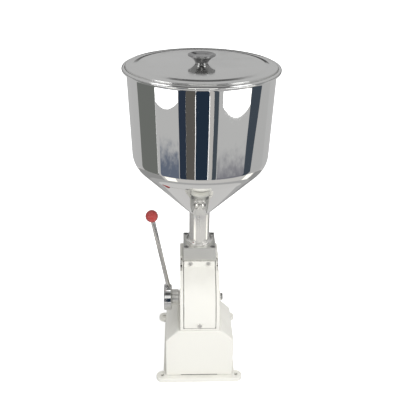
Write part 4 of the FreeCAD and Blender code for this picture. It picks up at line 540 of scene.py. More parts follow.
def body_paint(name, colour, shade_seams_of=None):
    """Cream-white paint on a casting: a faint orange peel, soft gloss, thin dust, painted shade in gaps
    and dulled edges."""
    material, tree, shader, spot = new_material(name, colour, 0.0, 0.42)
    faint = ramp(tree, noise(tree, spot, 11.0, 4.0), 0.3, 0.75, 0.0, 0.22)
    edges = place_group(tree, "EdgeWear", {"Vector": spot, "Radius": 0.0011, "Scale": 160.0,
                                           "Amount": 0.35})
    dust = place_group(tree, "Dust", {"Vector": spot, "Amount": 0.12})
    # Painted shade: the paint turns near-black in narrow gaps, and along the rear cover's sides and foot.
    gap_shade = place_group(tree, "Crevices", {"Distance": 0.006, "Low": 0.2, "High": 0.62})
    painted_shade = gap_shade.outputs["Mask"]
    if shade_seams_of:
        painted_shade = math_node(tree, "MAXIMUM", painted_shade, seam_shade_mask(tree, spot, shade_seams_of))
    toned = mixed(tree, faint, colour, shaded(colour, 0.95))
    rubbed = mixed(tree, edges.outputs["Mask"], toned, shaded(colour, 0.86))
    dusty = mixed(tree, dust.outputs["Mask"], rubbed, DUST_COLOUR)
    # The painted shade is mixed over the dusty paint last.
    tree.links.new(mixed(tree, painted_shade, dusty, PAINTED_SHADE_COLOUR), shader.inputs["Base Color"])
    smudged(tree, shader, spot, 25.0, 0.34, 0.5)
    bump(tree, shader, noise(tree, spot, 620.0, 2.0), 0.00035, 0.22, edges.outputs["Normal"])
    coated(shader, 0.25, 0.18)
    return material


def red_plastic(name, colour):
    """Glossy red moulded plastic with a clear, slightly smudged surface and a faint marbling."""
    material, tree, shader, spot = new_material(name, colour, 0.0, 0.16)
    marble = noise(tree, spot, 90.0, 5.0, Distortion=0.6)
    marbled = mixed(tree, ramp(tree, marble, 0.45, 0.8, 0.0, 0.4), colour, shaded(colour, 0.7))
    tree.links.new(marbled, shader.inputs["Base Color"])
    smudged(tree, shader, spot, 120.0, 0.05, 0.12)
    bump(tree, shader, marble, 0.0001, 0.1)
    coated(shader, 0.6, 0.05)
    return material


def seal_rubber(name, colour):
    """Matt black rubber with fine speckle."""
    material, tree, shader, spot = new_material(name, colour, 0.0, 0.7)
    speckle = noise(tree, spot, 900.0, 2.0)
    bump(tree, shader, speckle, 0.0001, 0.3)
    tree.links.new(ramp(tree, speckle, 0.3, 0.7, 0.6, 0.8), shader.inputs["Roughness"])
    return material


# Each finish: its maker, its colour's property, and the maker's further values
FINISHES = {
    "mirror_steel": (mirror_steel, "mirror", 0.01, 0.045, 1.0),
    "lid_steel": (mirror_steel, "lid", 0.09, 0.17, 1.6),
    "turned_steel": (turned_steel, "turned"),
    "pipe_steel": (satin_steel, "pipe", 0.08, 0.12, 0.85),
    "knob_steel": (satin_steel, "knob", 0.12, 0.2),
    "rod_steel": (satin_steel, "rod", 0.14, 0.34),
    "nut_steel": (satin_steel, "pipe", 0.3, 0.42),
    "cap_steel": (flat_steel, "pipe", 0.46, 0.4),
    "block_steel": (flat_steel, "block", 0.34, 0.5),
    "gear_steel": (flat_steel, "dark_steel", 0.36, 0.8),
    "screw_steel": (flat_steel, "screw", 0.3, 0.7),
    "spring_steel": (flat_steel, "turned", 0.25, 0.3),
    "bronze": (flat_steel, "bronze", 0.3, 0.6),
    "body_paint": (body_paint, "body"),
    # The rear cover's paint also gets a painted shade line along its sides and foot.
    "cover_paint": (body_paint, "body", "rear_cover"),
    "red_ball": (red_plastic, "ball"),
    "seal_rubber": (seal_rubber, "rubber"),
}


def finish(name):
    """One of the machine's materials, built the first time that it is asked for. The prefix keeps it apart
    from the frame's own materials."""
    maker, colour, *values = FINISHES[name]
    colours = bpy.context.scene.filler_colours
    return bpy.data.materials.get(PREFIX + name) or maker(name, tuple(getattr(colours, colour)), *values)


# Pieces

class FILLER_OT_hopper(bpy.types.Operator):
    """Spun hopper: a profile turned about the axis, with a cone, a blended corner, a tapered wall and a
    rolled rim"""
    bl_idname = "filler.hopper"
    bl_label = "Hopper"

    def execute(self, context):
        sizes = context.scene.filler_sizes
        high = node_box("hopper")[1]
        low = node_box("hopper_neck")[0]
        pipe_top = node_box("feed_pipe")[1][2]
        wall, bead = sizes.hopper_wall, sizes.bead_radius
        rim, bead_height = high[0] - bead, high[2] - bead
        neck = sizes.pipe_radius - sizes.pipe_wall - 0.1 * MM
        cone_foot = pipe_top + 0.2 * MM
        slant = wall / math.sqrt(2)
        outside = rounded([
            (neck, low[2]), (neck, cone_foot), (sizes.pipe_radius, cone_foot, 0.15 * MM),
            (sizes.corner_radius, sizes.corner_height, sizes.blend_radius),
            (sizes.mouth_radius, bead_height - 6 * MM, 8 * MM), (rim - bead + wall, bead_height)], 24)
        inside = rounded([
            (rim - bead + 0.1 * MM, bead_height), (sizes.mouth_radius - wall, bead_height - 6 * MM, 8 * MM),
            (sizes.corner_radius - wall, sizes.corner_height + slant, sizes.blend_radius - wall),
            (neck - wall, cone_foot + slant, 2 * MM), (neck - wall, low[2])], 24)
        shell = closed(np.concatenate([outside, inside]))
        turn = np.linspace(0, ROUND, 41)
        roll = np.stack([rim + bead * np.cos(turn), bead_height + bead * np.sin(turn)], axis=-1)
        grids = [revolve_points(path, sizes.round_steps) for path in (shell, roll)]
        made_piece("hopper_shell", grids, "mirror_steel", "mirror_steel", "machine", "hopper",
                   "hopper_cone", "hopper_neck")
        return {"FINISHED"}


class FILLER_OT_lid(bpy.types.Operator):
    """Lid and knob: turned profiles with a stepped middle, a turned-down edge, a skirt, and a flared dished
    knob"""
    bl_idname = "filler.lid"
    bl_label = "Lid and knob"

    def execute(self, context):
        sizes = context.scene.filler_sizes
        low, high = node_box("lid")
        sheet, edge = sizes.lid_thickness, high[0]
        middle = high[2]
        top = middle - sizes.lid_step_height
        skirt = sizes.lid_skirt_radius
        bead_height = node_box("hopper")[1][2] - sizes.bead_radius
        inward = node_box("hopper")[1][0] - sizes.bead_radius - edge
        edge_foot = bead_height + 0.3 * MM + math.sqrt(sizes.bead_radius ** 2 - inward ** 2)
        hole = 3.15 * MM
        profile = closed(rounded([
            (hole, middle), (sizes.lid_step_inner, middle, 6 * MM), (sizes.lid_step_outer, top, 6 * MM),
            (edge, top, 1.4 * MM), (edge, edge_foot, 0.2 * MM), (edge - sheet, edge_foot, 0.2 * MM),
            (edge - sheet, top - sheet, 0.2 * MM), (skirt, top - sheet, 0.3 * MM),
            (skirt, low[2], 0.3 * MM),
            (skirt - sheet, low[2], 0.3 * MM), (skirt - sheet, top - sheet, 0.3 * MM),
            (sizes.lid_step_outer, top - sheet, 4 * MM), (sizes.lid_step_inner, middle - sheet, 4 * MM),
            (hole, middle - sheet)], 8))
        made_piece("lid_sheet", [revolve_points(profile, sizes.round_steps)], "lid_steel", "mirror_steel",
                   "lid", "lid")

        low, high = node_box("lid_knob")
        rim, neck = high[0], sizes.knob_neck_radius
        dish, shoulder = rim - 2 * MM, rim - 1.2 * MM
        share = np.linspace(0, 1, 14)
        flare = np.stack([neck + (shoulder - neck) * share ** 1.7,
                          low[2] + (high[2] - low[2] - 3 * MM) * share], axis=-1)
        cup = rounded([tuple(flare[-1]), (rim, high[2] - 2.6 * MM, 0.5 * MM), (rim, high[2], 1.1 * MM),
                       (dish, high[2], 1.2 * MM), (dish * 0.6, high[2] - sizes.knob_dish_depth, 12 * MM),
                       (0, high[2] - sizes.knob_dish_depth)], 8)
        bore_top = low[2] + 10 * MM
        bore = [[0, bore_top], [hole, bore_top], [hole, low[2]]]
        path = np.concatenate([[[hole, low[2]]], flare, cup, bore])
        made_piece("lid_knob_turned", [revolve_points(path, 96)], "knob_steel", "mirror_steel", "lid",
                   "lid_knob")
        return {"FINISHED"}


class FILLER_OT_feed_pipe(bpy.types.Operator):
    """Feed pipe: a turned profile with a rounded flange and a welded fillet at its foot"""
    bl_idname = "filler.feed_pipe"
    bl_label = "Feed pipe"

    def execute(self, context):
        sizes = context.scene.filler_sizes
        low, high = node_box("feed_pipe")
        block_top = node_box("valve_block")[1][2]
        flange, pipe = high[0], sizes.pipe_radius
        inside = pipe - sizes.pipe_wall
        flange_top = block_top + sizes.flange_thickness
        spigot, seat = 18.5 * MM, 14 * MM
        profile = closed(rounded([
            (spigot, low[2]), (spigot, block_top, 0.1 * MM), (flange, block_top, 0.5 * MM),
            (flange, flange_top, 1.5 * MM), (pipe, flange_top, 1.2 * MM), (pipe, high[2], 0.5 * MM),
            (inside, high[2], 0.5 * MM), (inside, block_top + sizes.flange_thickness / 2, 0.5 * MM),
            (seat, block_top + sizes.flange_thickness / 2, 0.3 * MM), (seat, low[2])], 8))
        made_piece("feed_pipe_turned", [revolve_points(profile, 128)], "pipe_steel", "mirror_steel",
                   "machine", "feed_pipe")
        return {"FINISHED"}


class FILLER_OT_casting(bpy.types.Operator):
    """Painted casting and foot plate: the frame's own forms, welded so that their rounds shade smooth"""
    bl_idname = "filler.casting"
    bl_label = "Casting and foot"

    def execute(self, context):
        copied_piece("body_casting", "_painted", "body_paint", "body_paint")
        copied_piece("foot_plate", "_painted", "body_paint", "foot_paint")
        return {"FINISHED"}


class FILLER_OT_block(bpy.types.Operator):
    """Valve block, with its bores and screw seats kept from the frame"""
    bl_idname = "filler.block"
    bl_label = "Valve block"

    def execute(self, context):
        copied_piece("valve_block", "_ground", "block_steel", "block_steel")
        return {"FINISHED"}


class FILLER_OT_cover(bpy.types.Operator):
    """Rear cover: the frame's bulged sheet with its rounded corners"""
    bl_idname = "filler.cover"
    bl_label = "Rear cover"

    def execute(self, context):
        copied_piece("rear_cover", "_painted", "cover_paint", "body_paint")
        return {"FINISHED"}


class FILLER_OT_handle(bpy.types.Operator):
    """Handle: the turned hub, the slim rod, and the red ball, on the lever's tilted axis"""
    bl_idname = "filler.handle"
    bl_label = "Handle"

    def execute(self, context):
        sizes = context.scene.filler_sizes
        low, high = node_box("handle_hub")
        middle = (low + high) / 2
        radius, width = (high[2] - low[2]) / 2, high[0] - low[0]
        bore, recess, depth = 8.05 * MM, 12 * MM, 4.3 * MM
        profile = closed(rounded([
            (bore, 0), (radius - 3 * MM, 0, 0.4 * MM), (radius, 1.6 * MM, 1.2 * MM),
            (radius, width - 1.6 * MM, 1.2 * MM), (radius - 1.8 * MM, width, 1.0 * MM),
            (recess, width, 0.5 * MM), (recess, width - depth, 0.2 * MM), (bore, width - depth)], 6))
        points = towards(revolve_points(profile, 128), (high[0], middle[1], middle[2]), LEFT)
        made_piece("handle_hub_turned", [points], "turned_steel", "turned_steel", "lever", "handle_hub")

        tilt = Matrix.Rotation(-sizes.lever_tilt, 3, "Y")
        axis = np.array(tilt @ Vector((0, 0, 1)))
        low, high = node_box("handle_ball")
        centre = (low + high) / 2
        ball = (high[1] - low[1]) / 2
        rod_low, rod_high = node_box("handle_rod")
        rod = (rod_high[1] - rod_low[1]) / 2
        rise = rod_high[2] - rod_low[2] - 2 * rod * math.sin(sizes.lever_tilt)
        rod_length = rise / math.cos(sizes.lever_tilt)
        rod_foot = (rod_low + rod_high) / 2 - axis * rod_length / 2
        profile = rounded([(0, 0), (rod, 0, 0.3 * MM), (rod, rod_length, 0.6 * MM), (0, rod_length)], 5)
        points = towards(revolve_points(profile, 48), rod_foot, tilt)
        made_piece("handle_rod_turned", [points], "rod_steel", "turned_steel", "lever", "handle_rod")
        centre = rod_foot + axis * (centre[2] - rod_foot[2]) / axis[2]
        hole, hole_end = rod + 0.05 * MM, -3.2 * MM
        turn = np.linspace(-math.acos(hole / ball), math.pi / 2, 48)
        sphere = np.stack([ball * np.cos(turn), ball * np.sin(turn)], axis=-1)
        path = np.concatenate([[[0, hole_end], [hole, hole_end]], sphere])
        points = towards(revolve_points(path, 96), centre, tilt)
        made_piece("handle_ball_moulded", [points], "red_ball", "red_plastic", "lever", "handle_ball")
        return {"FINISHED"}


NUT_CHAMFER = 0.6 * MM
SLOT_SLOPE = 0.4 * MM


def nut_points(radius, width, slots, slot_width, slot_depth, slot_start, steps):
    """A slotted nut's side: its radius is r(a, z) = R less a slot's depth wherever the angle a lies in one of
    the slots and z is past their start, with a short slope at the slot's walls."""
    angle = np.linspace(0, ROUND, steps + 1)
    height = np.array([0, NUT_CHAMFER, slot_start, slot_start + SLOT_SLOPE, width - NUT_CHAMFER, width])
    inset = np.array([NUT_CHAMFER, 0, 0, 0, 0, NUT_CHAMFER])
    away = np.abs((angle * slots / ROUND + 0.5) % 1 - 0.5) * ROUND / slots * radius
    slot = np.clip((slot_width / 2 + SLOT_SLOPE - away) / SLOT_SLOPE, 0, 1)
    slotted = height > slot_start
    reach = radius - inset[:, None] - slotted[:, None] * slot * slot_depth
    return ring_points(reach, height[:, None], angle)


class FILLER_OT_shaft_ends(bpy.types.Operator):
    """Shaft ends: the slotted ring nut on the left; the washer and end screw on the right are made with the
    mechanism and the screws
    """
    bl_idname = "filler.shaft_ends"
    bl_label = "Shaft ends"

    def execute(self, context):
        low, high = node_box("bush_nut")
        middle = (low + high) / 2
        radius, width = (high[2] - low[2]) / 2, high[0] - low[0]
        bore, neck, neck_length = 12.1 * MM, 13.5 * MM, 2 * MM
        side = nut_points(radius, width - neck_length, 8, 5 * MM, 1.5 * MM, 5.5 * MM, 256)
        side[..., 2] += neck_length
        foot = revolve_points([(bore, 0), (neck, 0), (neck, neck_length)], 256)
        hole = revolve_points([(bore, width), (bore, 0)], 256)
        grid = np.concatenate([foot, side, hole])
        points = towards(grid, (high[0], middle[1], middle[2]), LEFT)
        made_piece("bush_nut_slotted", [points], "nut_steel", "turned_steel", "machine", "bush_nut")
        return {"FINISHED"}


HEAD_STEPS = 72
TOP_RINGS = 33
RECESS_SLOPE = 0.12 * MM
BAR_SHARE = 0.28  # Half width of a cross's bar over its half length


def recess_mask(x, y, kind, size):
    """How far a point of a screw's head lies inside its recess, from 0 outside to 1 inside: a hexagon's
    distance is the largest of its three side distances, and a cross is the nearer of its two bars."""
    if kind == "hex":
        turns = np.radians([0, 60, 120])
        away = np.max([np.abs(x * np.cos(turn) + y * np.sin(turn)) for turn in turns], axis=0) - size
    else:
        arm = size * BAR_SHARE
        bars = [np.maximum(np.abs(x) - arm, np.abs(y) - size),
                np.maximum(np.abs(y) - arm, np.abs(x) - size)]
        away = np.min(bars, axis=0)
    return np.clip(0.5 - away / RECESS_SLOPE, 0, 1)


def screw_head(radius, height, crown, kind, size, depth):
    """A screw's head as rings: straight sides, a rounded shoulder, and a top z = h + crown (1 - (r/R)^2) less
    the recess's depth wherever the mask says so."""
    shoulder = min(0.5 * MM, height * 0.3)
    turn = np.linspace(0, math.pi / 2, 5)
    edge = radius - shoulder + shoulder * np.cos(turn)
    rise = height - shoulder + shoulder * np.sin(turn)
    rings = np.concatenate([[0, radius], edge, np.linspace(radius - shoulder, 0, TOP_RINGS + 1)[1:]])
    level = np.concatenate([[0, 0], rise, np.full(TOP_RINGS, height)])
    top = np.arange(len(rings)) >= 2 + len(turn)
    level = level + np.where(top, crown * (1 - (rings / (radius - shoulder)) ** 2), 0)
    angle = np.linspace(0, ROUND, HEAD_STEPS + 1)
    x, y = rings[:, None] * np.cos(angle), rings[:, None] * np.sin(angle)
    inside = recess_mask(x, y, kind, size) * top[:, None]
    return np.stack([x, y, level[:, None] - inside * depth], axis=-1)


class FILLER_OT_screws(bpy.types.Operator):
    """Screws: domed cross heads on the casing, and hexagon socket heads in the block and on the shaft, as
    rings"""
    bl_idname = "filler.screws"
    bl_label = "Screws"

    def execute(self, context):
        for node, body, kind, turns in SCREWS:
            place_screws(node, body, kind, turns)
        return {"FINISHED"}


SHANK_RADIUS = 3 * MM
# Each kind of screw: head radius, head height, crown, recess, its half width and depth
SCREW_KINDS = {
    "pan": (4.5 * MM, 2.6 * MM, 0.45 * MM, "cross", 2.5 * MM, 1.3 * MM),
    "socket": (5.0 * MM, 6.0 * MM, 0.0, "hex", 2.6 * MM, 3.0 * MM),
    "low_socket": (5.0 * MM, 2.2 * MM, 0.0, "hex", 2.6 * MM, 1.4 * MM),
    "side_cap": (5.75 * MM, 4.4 * MM, 0.0, "hex", 2.6 * MM, 2.4 * MM),
    "cap": (7.25 * MM, 4.2 * MM, 0.6 * MM, "hex", 3.0 * MM, 2.4 * MM),
}
# Node, body, kind, and the way that its heads point on the left and on the right of the machine
SCREWS = (
    ("cover_screws", "machine", "pan", (REAR, REAR)),
    ("front_screws", "machine", "pan", (FRONT, FRONT)),
    ("side_screws", "machine", "side_cap", (LEFT, RIGHT)),
    ("foot_screws", "machine", "pan", (DOWN, DOWN)),
    ("block_screws", "machine", "socket", (UP, UP)),
    ("hub_screw", "lever", "low_socket", (LEFT, LEFT)),
    ("shaft_end_screw", "lever", "cap", (RIGHT, RIGHT)),
)


def place_screws(node, body, kind, turns):
    """Puts a head and a shank in the place of each solid of a node."""
    radius, height, crown, recess, size, depth = SCREW_KINDS[kind]
    head = screw_head(radius, height - crown, crown, recess, size, depth)
    grids = []
    for low, high in solid_places(node):
        turn = turns[0] if low[0] + high[0] < 0 else turns[1]
        axis = np.array(turn @ Vector((0, 0, 1)))
        half = np.abs((high - low) / 2 @ np.abs(axis))
        foot = (low + high) / 2 + axis * (half - height)
        shank = 2 * half - height
        path = rounded([(0, -shank), (SHANK_RADIUS, -shank, 0.4 * MM), (SHANK_RADIUS, 0)], 4)
        grids += [towards(head, foot, turn), towards(revolve_points(path, 32), foot, turn)]
    look = "cap_steel" if kind in ("side_cap", "pan") else "screw_steel"
    made_piece(node + "_made", grids, look, "screw_steel", body, node)


def solid_places(node):
    """The low and high corner of each separate solid of a CAD node, found by spreading the lowest number over
    each triangle's corners until nothing changes."""
    kept, faces = welded_node(node)
    label = np.arange(len(kept))
    while True:
        lowest = label[faces].min(axis=1)
        spread = label.copy()
        np.minimum.at(spread, faces.reshape(-1), np.repeat(lowest, 3))
        if (spread == label).all():
            break
        label = spread
    return [(kept[label == solid].min(axis=0),
             kept[label == solid].max(axis=0)) for solid in np.unique(label)]


# Frame solids that keep their own mesh, by finish
CARRIED = {
    "turned_steel": ("cylinder_liner", "piston", "feed_seat", "feed_ball", "feed_retainer",
                     "discharge_ball"),
    "gear_steel": ("pinion", "rack_rod", "drive_shaft", "shaft_keys", "stop_arm"),
    "bronze": ("left_bush", "right_bush", "rod_guide_bush"),
    "screw_steel": ("piston_bolt", "knob_screw"),
    "spring_steel": ("feed_spring", "discharge_spring"),
    "seal_rubber": ("liner_seal", "pipe_seal", "discharge_seal", "piston_seals"),
}
# Frame solids that show, given smooth rounds and lathe marks: node, axis, finish, material slot, body
SMOOTHED = (
    ("discharge_elbow", (0, 0, 1), "turned_steel", "valve_steel", "machine"),
    ("spout", (0, 0, 1), "turned_steel", "valve_steel", "machine"),
    ("dose_screw", (0, 1, 0), "screw_steel", "screw_steel", "machine"),
    ("dose_lock_nut", (0, 1, 0), "screw_steel", "screw_steel", "machine"),
    ("hub_washer", (1, 0, 0), "turned_steel", "turned_steel", "lever"),
    ("shaft_end_washer", (1, 0, 0), "turned_steel", "turned_steel", "lever"),
)


class FILLER_OT_mechanism(bpy.types.Operator):
    """Mechanism and valves: the frame's own solids with machined finishes, the outer ones with smooth
    rounds"""
    bl_idname = "filler.mechanism"
    bl_label = "Mechanism"

    def execute(self, context):
        for name, nodes in CARRIED.items():
            for node in nodes:
                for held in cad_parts[node].material_slots:
                    held.material = finish(name)
        for node, axis, look, slot, body in SMOOTHED:
            copied_piece(node, "_smooth", look, slot, body, axis)
        return {"FINISHED"}


# Studio

FADE_SPREAD = 0.16
CARD_POINTS = 25
TABLE_POINTS = 49
FLOOR_REACH = 6
CAMERA_PLACE = (-0.0386, -0.9960, 0.8651)
CAMERA_VIEW = (0.0351, 0.8928, -0.4492)
CAMERA_ROLL = math.radians(0.84)
LENS, SENSOR_WIDTH = 51.2, 36


def emitter(name, colour, fade=None):
    """A card's even glow. Fade names a second colour that the glow turns to in streaks between two
    heights."""
    material = bpy.data.materials.new(name)
    material.use_nodes = True
    tree = material.node_tree
    tree.nodes.clear()
    glow = add_node(tree, "ShaderNodeEmission", {"Color": (*colour, 1), "Strength": 1.0})
    if fade:
        low, high, second = fade
        spot = add_node(tree, "ShaderNodeTexCoord").outputs["Object"]
        streaks = place_group(tree, "Strokes", {"Vector": spot, "Stretch": (0.25, 0.25, 1.0),
                                                "Scale": 40.0})
        rise = math_node(tree, "MULTIPLY", streaks.outputs["Height"], FADE_SPREAD)
        height = add_node(tree, "ShaderNodeSeparateXYZ", {0: spot}).outputs["Z"]
        reach = math_node(tree, "ADD", height, rise)
        share = ramp(tree, reach, low + FADE_SPREAD / 2, high + FADE_SPREAD / 2)
        tree.links.new(mixed(tree, share, colour, second), glow.inputs["Color"])
    end = add_node(tree, "ShaderNodeOutputMaterial")
    tree.links.new(glow.outputs[0], end.inputs["Surface"])
    return material


def add_card(name, start, end, low, high, radius, colour, bulge=0.0, lean=(0, 0), fade=None):
    """A curved card that stands round the machine between two compass angles in degrees, seen only in
    reflections. Its lower edge sinks by bulge times (1 - s^2), where s runs from -1 to 1 across it, and lean
    turns the lower edge's two ends by so many degrees."""
    share = np.linspace(-1, 1, CARD_POINTS)
    angle = np.radians((start + end) / 2 + share * (end - start) / 2)
    low_angle = angle + np.radians(lean[0] * (1 - share) / 2 + lean[1] * (1 + share) / 2)
    foot = low - bulge * (1 - share ** 2)
    rows = [ring_points(radius, foot, low_angle), ring_points(radius, high, angle)]
    reflected(name, rows, emitter(name, colour, fade))


def add_table(name, inner, outer, height, colour, start=0, end=360):
    """A flat ring, or a part of one, round the machine's axis, seen only in reflections."""
    angle = np.radians(np.linspace(start, end, TABLE_POINTS))
    reflected(name, [ring_points(reach, height, angle) for reach in (inner, outer)], emitter(name, colour))


def reflected(name, rows, material):
    """A glowing sheet through rows of points, seen only in reflections."""
    mesh = bpy.data.meshes.new(name)
    mesh.from_pydata(np.concatenate(rows).tolist(), [], grid_faces(len(rows), len(rows[0])).tolist())
    card = bpy.data.objects.new(name, mesh)
    bpy.context.scene.collection.objects.link(card)
    mesh.materials.append(material)
    card.visible_camera = card.visible_diffuse = card.visible_shadow = card.visible_transmission = False
    card.visible_volume_scatter = False


def add_softbox(name, place, aim, size, power):
    """A square soft lamp at a place, turned to a point. The steel shows the cards and not the lamp."""
    lamp = bpy.data.lights.new(name, "AREA")
    lamp.shape = "SQUARE"
    lamp.size = size
    lamp.energy = power
    box = bpy.data.objects.new(name, lamp)
    box.visible_glossy = False
    box.location = place
    box.rotation_euler = (Vector(aim) - Vector(place)).to_track_quat("-Z", "Y").to_euler()
    bpy.context.scene.collection.objects.link(box)


class FILLER_OT_stage(bpy.types.Operator):
    """Studio: pale floor, white background, soft lamps, cards for the steel to reflect, and the camera"""
    bl_idname = "filler.stage"
    bl_label = "Studio"

    def execute(self, context):
        scene = context.scene
        scene.view_settings.view_transform = "Standard"
        self.make_floor(scene.filler_colours.floor)
        self.make_world(scene)
        add_softbox("key", (1.1, -1.3, 1.9), (0, 0, 0.3), 1.3, 22)
        add_softbox("fill", (-0.3, -1.9, 0.9), (0, 0, 0.2), 1.2, 11.5)
        add_softbox("top", (0.2, 0.3, 2.2), (0, 0, 0.3), 1.6, 9)
        for card in CARDS:
            add_card(*card)
        for table in TABLES:
            add_table(*table)
        self.make_camera(scene)
        return {"FINISHED"}

    def make_floor(self, colour):
        """A large flat floor: a pale surface that takes the shadow, white where only the camera or steel sees
        it."""
        corners = [(FLOOR_REACH * x, FLOOR_REACH * y, 0) for x, y in ((-1, -1), (1, -1), (1, 1), (-1, 1))]
        mesh = bpy.data.meshes.new("floor")
        mesh.from_pydata(corners, [], [(0, 1, 2, 3)])
        floor = bpy.data.objects.new("floor", mesh)
        bpy.context.scene.collection.objects.link(floor)
        material, tree, shader, spot = new_material("floor", colour, 0.0, 0.8)
        path = add_node(tree, "ShaderNodeLightPath")
        seen = math_node(tree, "ADD", path.outputs["Is Camera Ray"], path.outputs["Is Glossy Ray"], True)
        seen = math_node(tree, "ADD", seen, path.outputs["Is Transmission Ray"], True)
        away = add_node(tree, "ShaderNodeVectorMath", {0: spot}, operation="LENGTH").outputs["Value"]
        glow = ramp(tree, away, 0.1, 0.35, 0.5, 1.0)
        shader.inputs["Emission Color"].default_value = (1, 1, 1, 1)
        tree.links.new(math_node(tree, "MULTIPLY", glow, seen), shader.inputs["Emission Strength"])
        mesh.materials.append(material)

    def make_world(self, scene):
        """A white room: full white to the camera and in reflections, a softer fill on the object."""
        world = bpy.data.worlds.new("studio")
        world.use_nodes = True
        scene.world = world
        tree = world.node_tree
        back = tree.nodes["Background"]
        back.inputs["Color"].default_value = (1, 1, 1, 1)
        path = add_node(tree, "ShaderNodeLightPath")
        seen = math_node(tree, "MAXIMUM", path.outputs["Is Camera Ray"], path.outputs["Is Glossy Ray"],
                         True)
        seen = math_node(tree, "MAXIMUM", seen, path.outputs["Is Transmission Ray"], True)
        tree.links.new(ramp(tree, seen, 0.0, 1.0, 0.46, 1.0), back.inputs["Strength"])

    def make_camera(self, scene):
        """The camera at the photograph's place: position, view direction, roll and lens from the fitted
        view."""
        data = bpy.data.cameras.new("camera")
        data.lens, data.sensor_width = LENS, SENSOR_WIDTH
        data.clip_start, data.clip_end = 0.01, 50
        camera = bpy.data.objects.new("camera", data)
        scene.collection.objects.link(camera)
        forward = Vector(CAMERA_VIEW).normalized()
        right = forward.cross(Vector((0, 0, 1))).normalized()
        up = right.cross(forward)
        tilted_up = up * math.cos(CAMERA_ROLL) - right * math.sin(CAMERA_ROLL)
        tilted_right = forward.cross(tilted_up)
        turn = Matrix((tilted_right, tilted_up, -forward)).transposed()
        camera.matrix_world = Matrix.Translation(CAMERA_PLACE) @ turn.to_4x4()
        scene.camera = camera


def grey(level, warm=0.0):
    """A card's colour from the shade of grey that it shows, with a little more or less blue."""
    linear = ((level / 255 + 0.055) / 1.055) ** 2.4
    return (linear * (1 + warm), linear, linear * (1 - warm))


FOOT, TOP = 0.05, 0.45  # The low and high edge of the lower cards
LAMP = (3.0, 3.0, 3.0)
WARM_STRIP = (1.3, 1.27, 1.18)
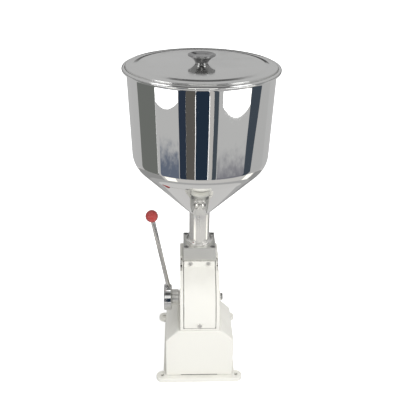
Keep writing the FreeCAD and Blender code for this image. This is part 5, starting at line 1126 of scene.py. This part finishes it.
# Cards by name: start and end compass angle, low and high edge, radius, colour, the lower edge's bulge
# and lean, and the two heights and the colour that it fades to. The angles go round from the right, and
# 270 degrees is the camera's side.
CARDS = [
    ("upper_wall", 0, 360, 0.80, 3.2, 1.6, grey(186)),
    ("upper_flag", 215, 325, 0.86, 1.75, 0.62, grey(80)),
    ("middle_band", 0, 360, 0.38, 0.80, 0.76, grey(188)),
    ("horizon_band", 0, 360, 0.58, 0.69, 0.75, grey(66)),
    ("rear_window", 252, 288, 0.45, 0.80, 0.74, (1.1, 1.1, 1.08)),
    ("left_lamp", 196, 222, 0.86, 1.25, 0.60, LAMP),
    ("right_lamp", 312, 338, 0.86, 1.25, 0.60, LAMP),
    ("crescent_flag", 62, 97, 1.5, 1.95, 1.58, grey(95)),
    ("far_flag", 62, 118, 0.69, 0.745, 0.74, grey(85)),
    ("left_board", 106, 163, FOOT, TOP, 0.72, grey(187)),
    ("left_flag", 163, 200, FOOT, TOP, 0.70, (0.160, 0.168, 0.158)),
    ("left_screen", 200, 237, FOOT, TOP, 0.72, grey(190)),
    ("left_window", 201, 236, 0.386, TOP, 0.69, LAMP, 0.022),
    ("left_low_screen", 205, 236, FOOT, 0.36, 0.70, (0.130, 0.155, 0.21), 0.0, (0, 0),
     (0.17, 0.28, grey(189))),
    ("blue_flag", 237, 247, FOOT, TOP, 0.70, (0.026, 0.038, 0.062)),
    ("brown_flag", 247, 260, FOOT, TOP, 0.71, (0.108, 0.101, 0.092)),
    ("centre_flag", 260.5, 279, FOOT, TOP, 0.70, (0.018, 0.031, 0.052)),
    ("centre_strip", 279.5, 285.5, FOOT, TOP, 0.71, grey(188, 0.03)),
    ("thin_flag", 285.5, 292, FOOT, TOP, 0.70, (0.062, 0.078, 0.095)),
    ("right_screen", 291, 344, FOOT, TOP, 0.72, grey(190)),
    ("right_window", 298, 341, 0.375, TOP, 0.69, LAMP, 0.032),
    ("right_low_screen", 293, 342, FOOT, 0.34, 0.70, (0.20, 0.20, 0.23), 0.0, (0, 0),
     (0.12, 0.26, grey(189))),
    ("right_flag", 343, 364, FOOT, TOP, 0.70, (0.055, 0.070, 0.090), 0.0, (-6, -16)),
    ("right_grey_board", 344, 386, FOOT, TOP, 0.71, grey(182)),
    ("right_board", 386, 466, FOOT, TOP, 0.72, grey(188)),
]
# Flat rings by name: inner and outer radius, height, colour, and the two compass angles of a part of a
# ring
TABLES = [
    ("table_middle", 0.0, 0.34, 0.002, grey(204, 0.01)),
    ("table_ring", 0.34, 0.46, 0.002, grey(172)),
    ("table_edge", 0.46, 0.82, 0.002, grey(200, 0.02)),
    ("left_strip", 0.46, 0.76, 0.003, WARM_STRIP, 208, 228),
    ("right_strip", 0.46, 0.76, 0.003, WARM_STRIP, 350, 368),
    ("left_shade", 0.46, 0.76, 0.003, grey(150), 110, 202),
    ("right_shade", 0.46, 0.76, 0.003, grey(150), 372, 440),
    ("ceiling", 0.0, 1.7, 3.1, grey(150)),
]


class FILLER_PT_panel(bpy.types.Panel):
    """Lists the operators, sizes and colours"""
    bl_idname = "FILLER_PT_panel"
    bl_label = "Liquid filler"
    bl_space_type = "VIEW_3D"
    bl_region_type = "UI"
    bl_category = "Filler"

    def draw(self, context):
        column = self.layout.column(align=True)
        for operator in OPERATORS:
            column.operator(operator.bl_idname)
        for group in (context.scene.filler_sizes, context.scene.filler_colours):
            box = self.layout.box()
            for name in group.__annotations__:
                box.prop(group, name)


OPERATORS = (FILLER_OT_hopper, FILLER_OT_lid, FILLER_OT_feed_pipe, FILLER_OT_block, FILLER_OT_cover,
             FILLER_OT_casting, FILLER_OT_handle, FILLER_OT_shaft_ends, FILLER_OT_screws,
             FILLER_OT_mechanism, FILLER_OT_stage)
CLASSES = (FillerSizes, FillerColours, *OPERATORS, FILLER_PT_panel)


def register():
    for item in CLASSES:
        bpy.utils.register_class(item)
    bpy.types.Scene.filler_sizes = PointerProperty(type=FillerSizes)
    bpy.types.Scene.filler_colours = PointerProperty(type=FillerColours)


def unregister():
    del bpy.types.Scene.filler_colours
    del bpy.types.Scene.filler_sizes
    for item in reversed(CLASSES):
        bpy.utils.unregister_class(item)


def main():
    register()
    for operator in OPERATORS:
        group, name = operator.bl_idname.split(".")
        getattr(getattr(bpy.ops, group), name)()


if __name__ == "__main__":
    main()
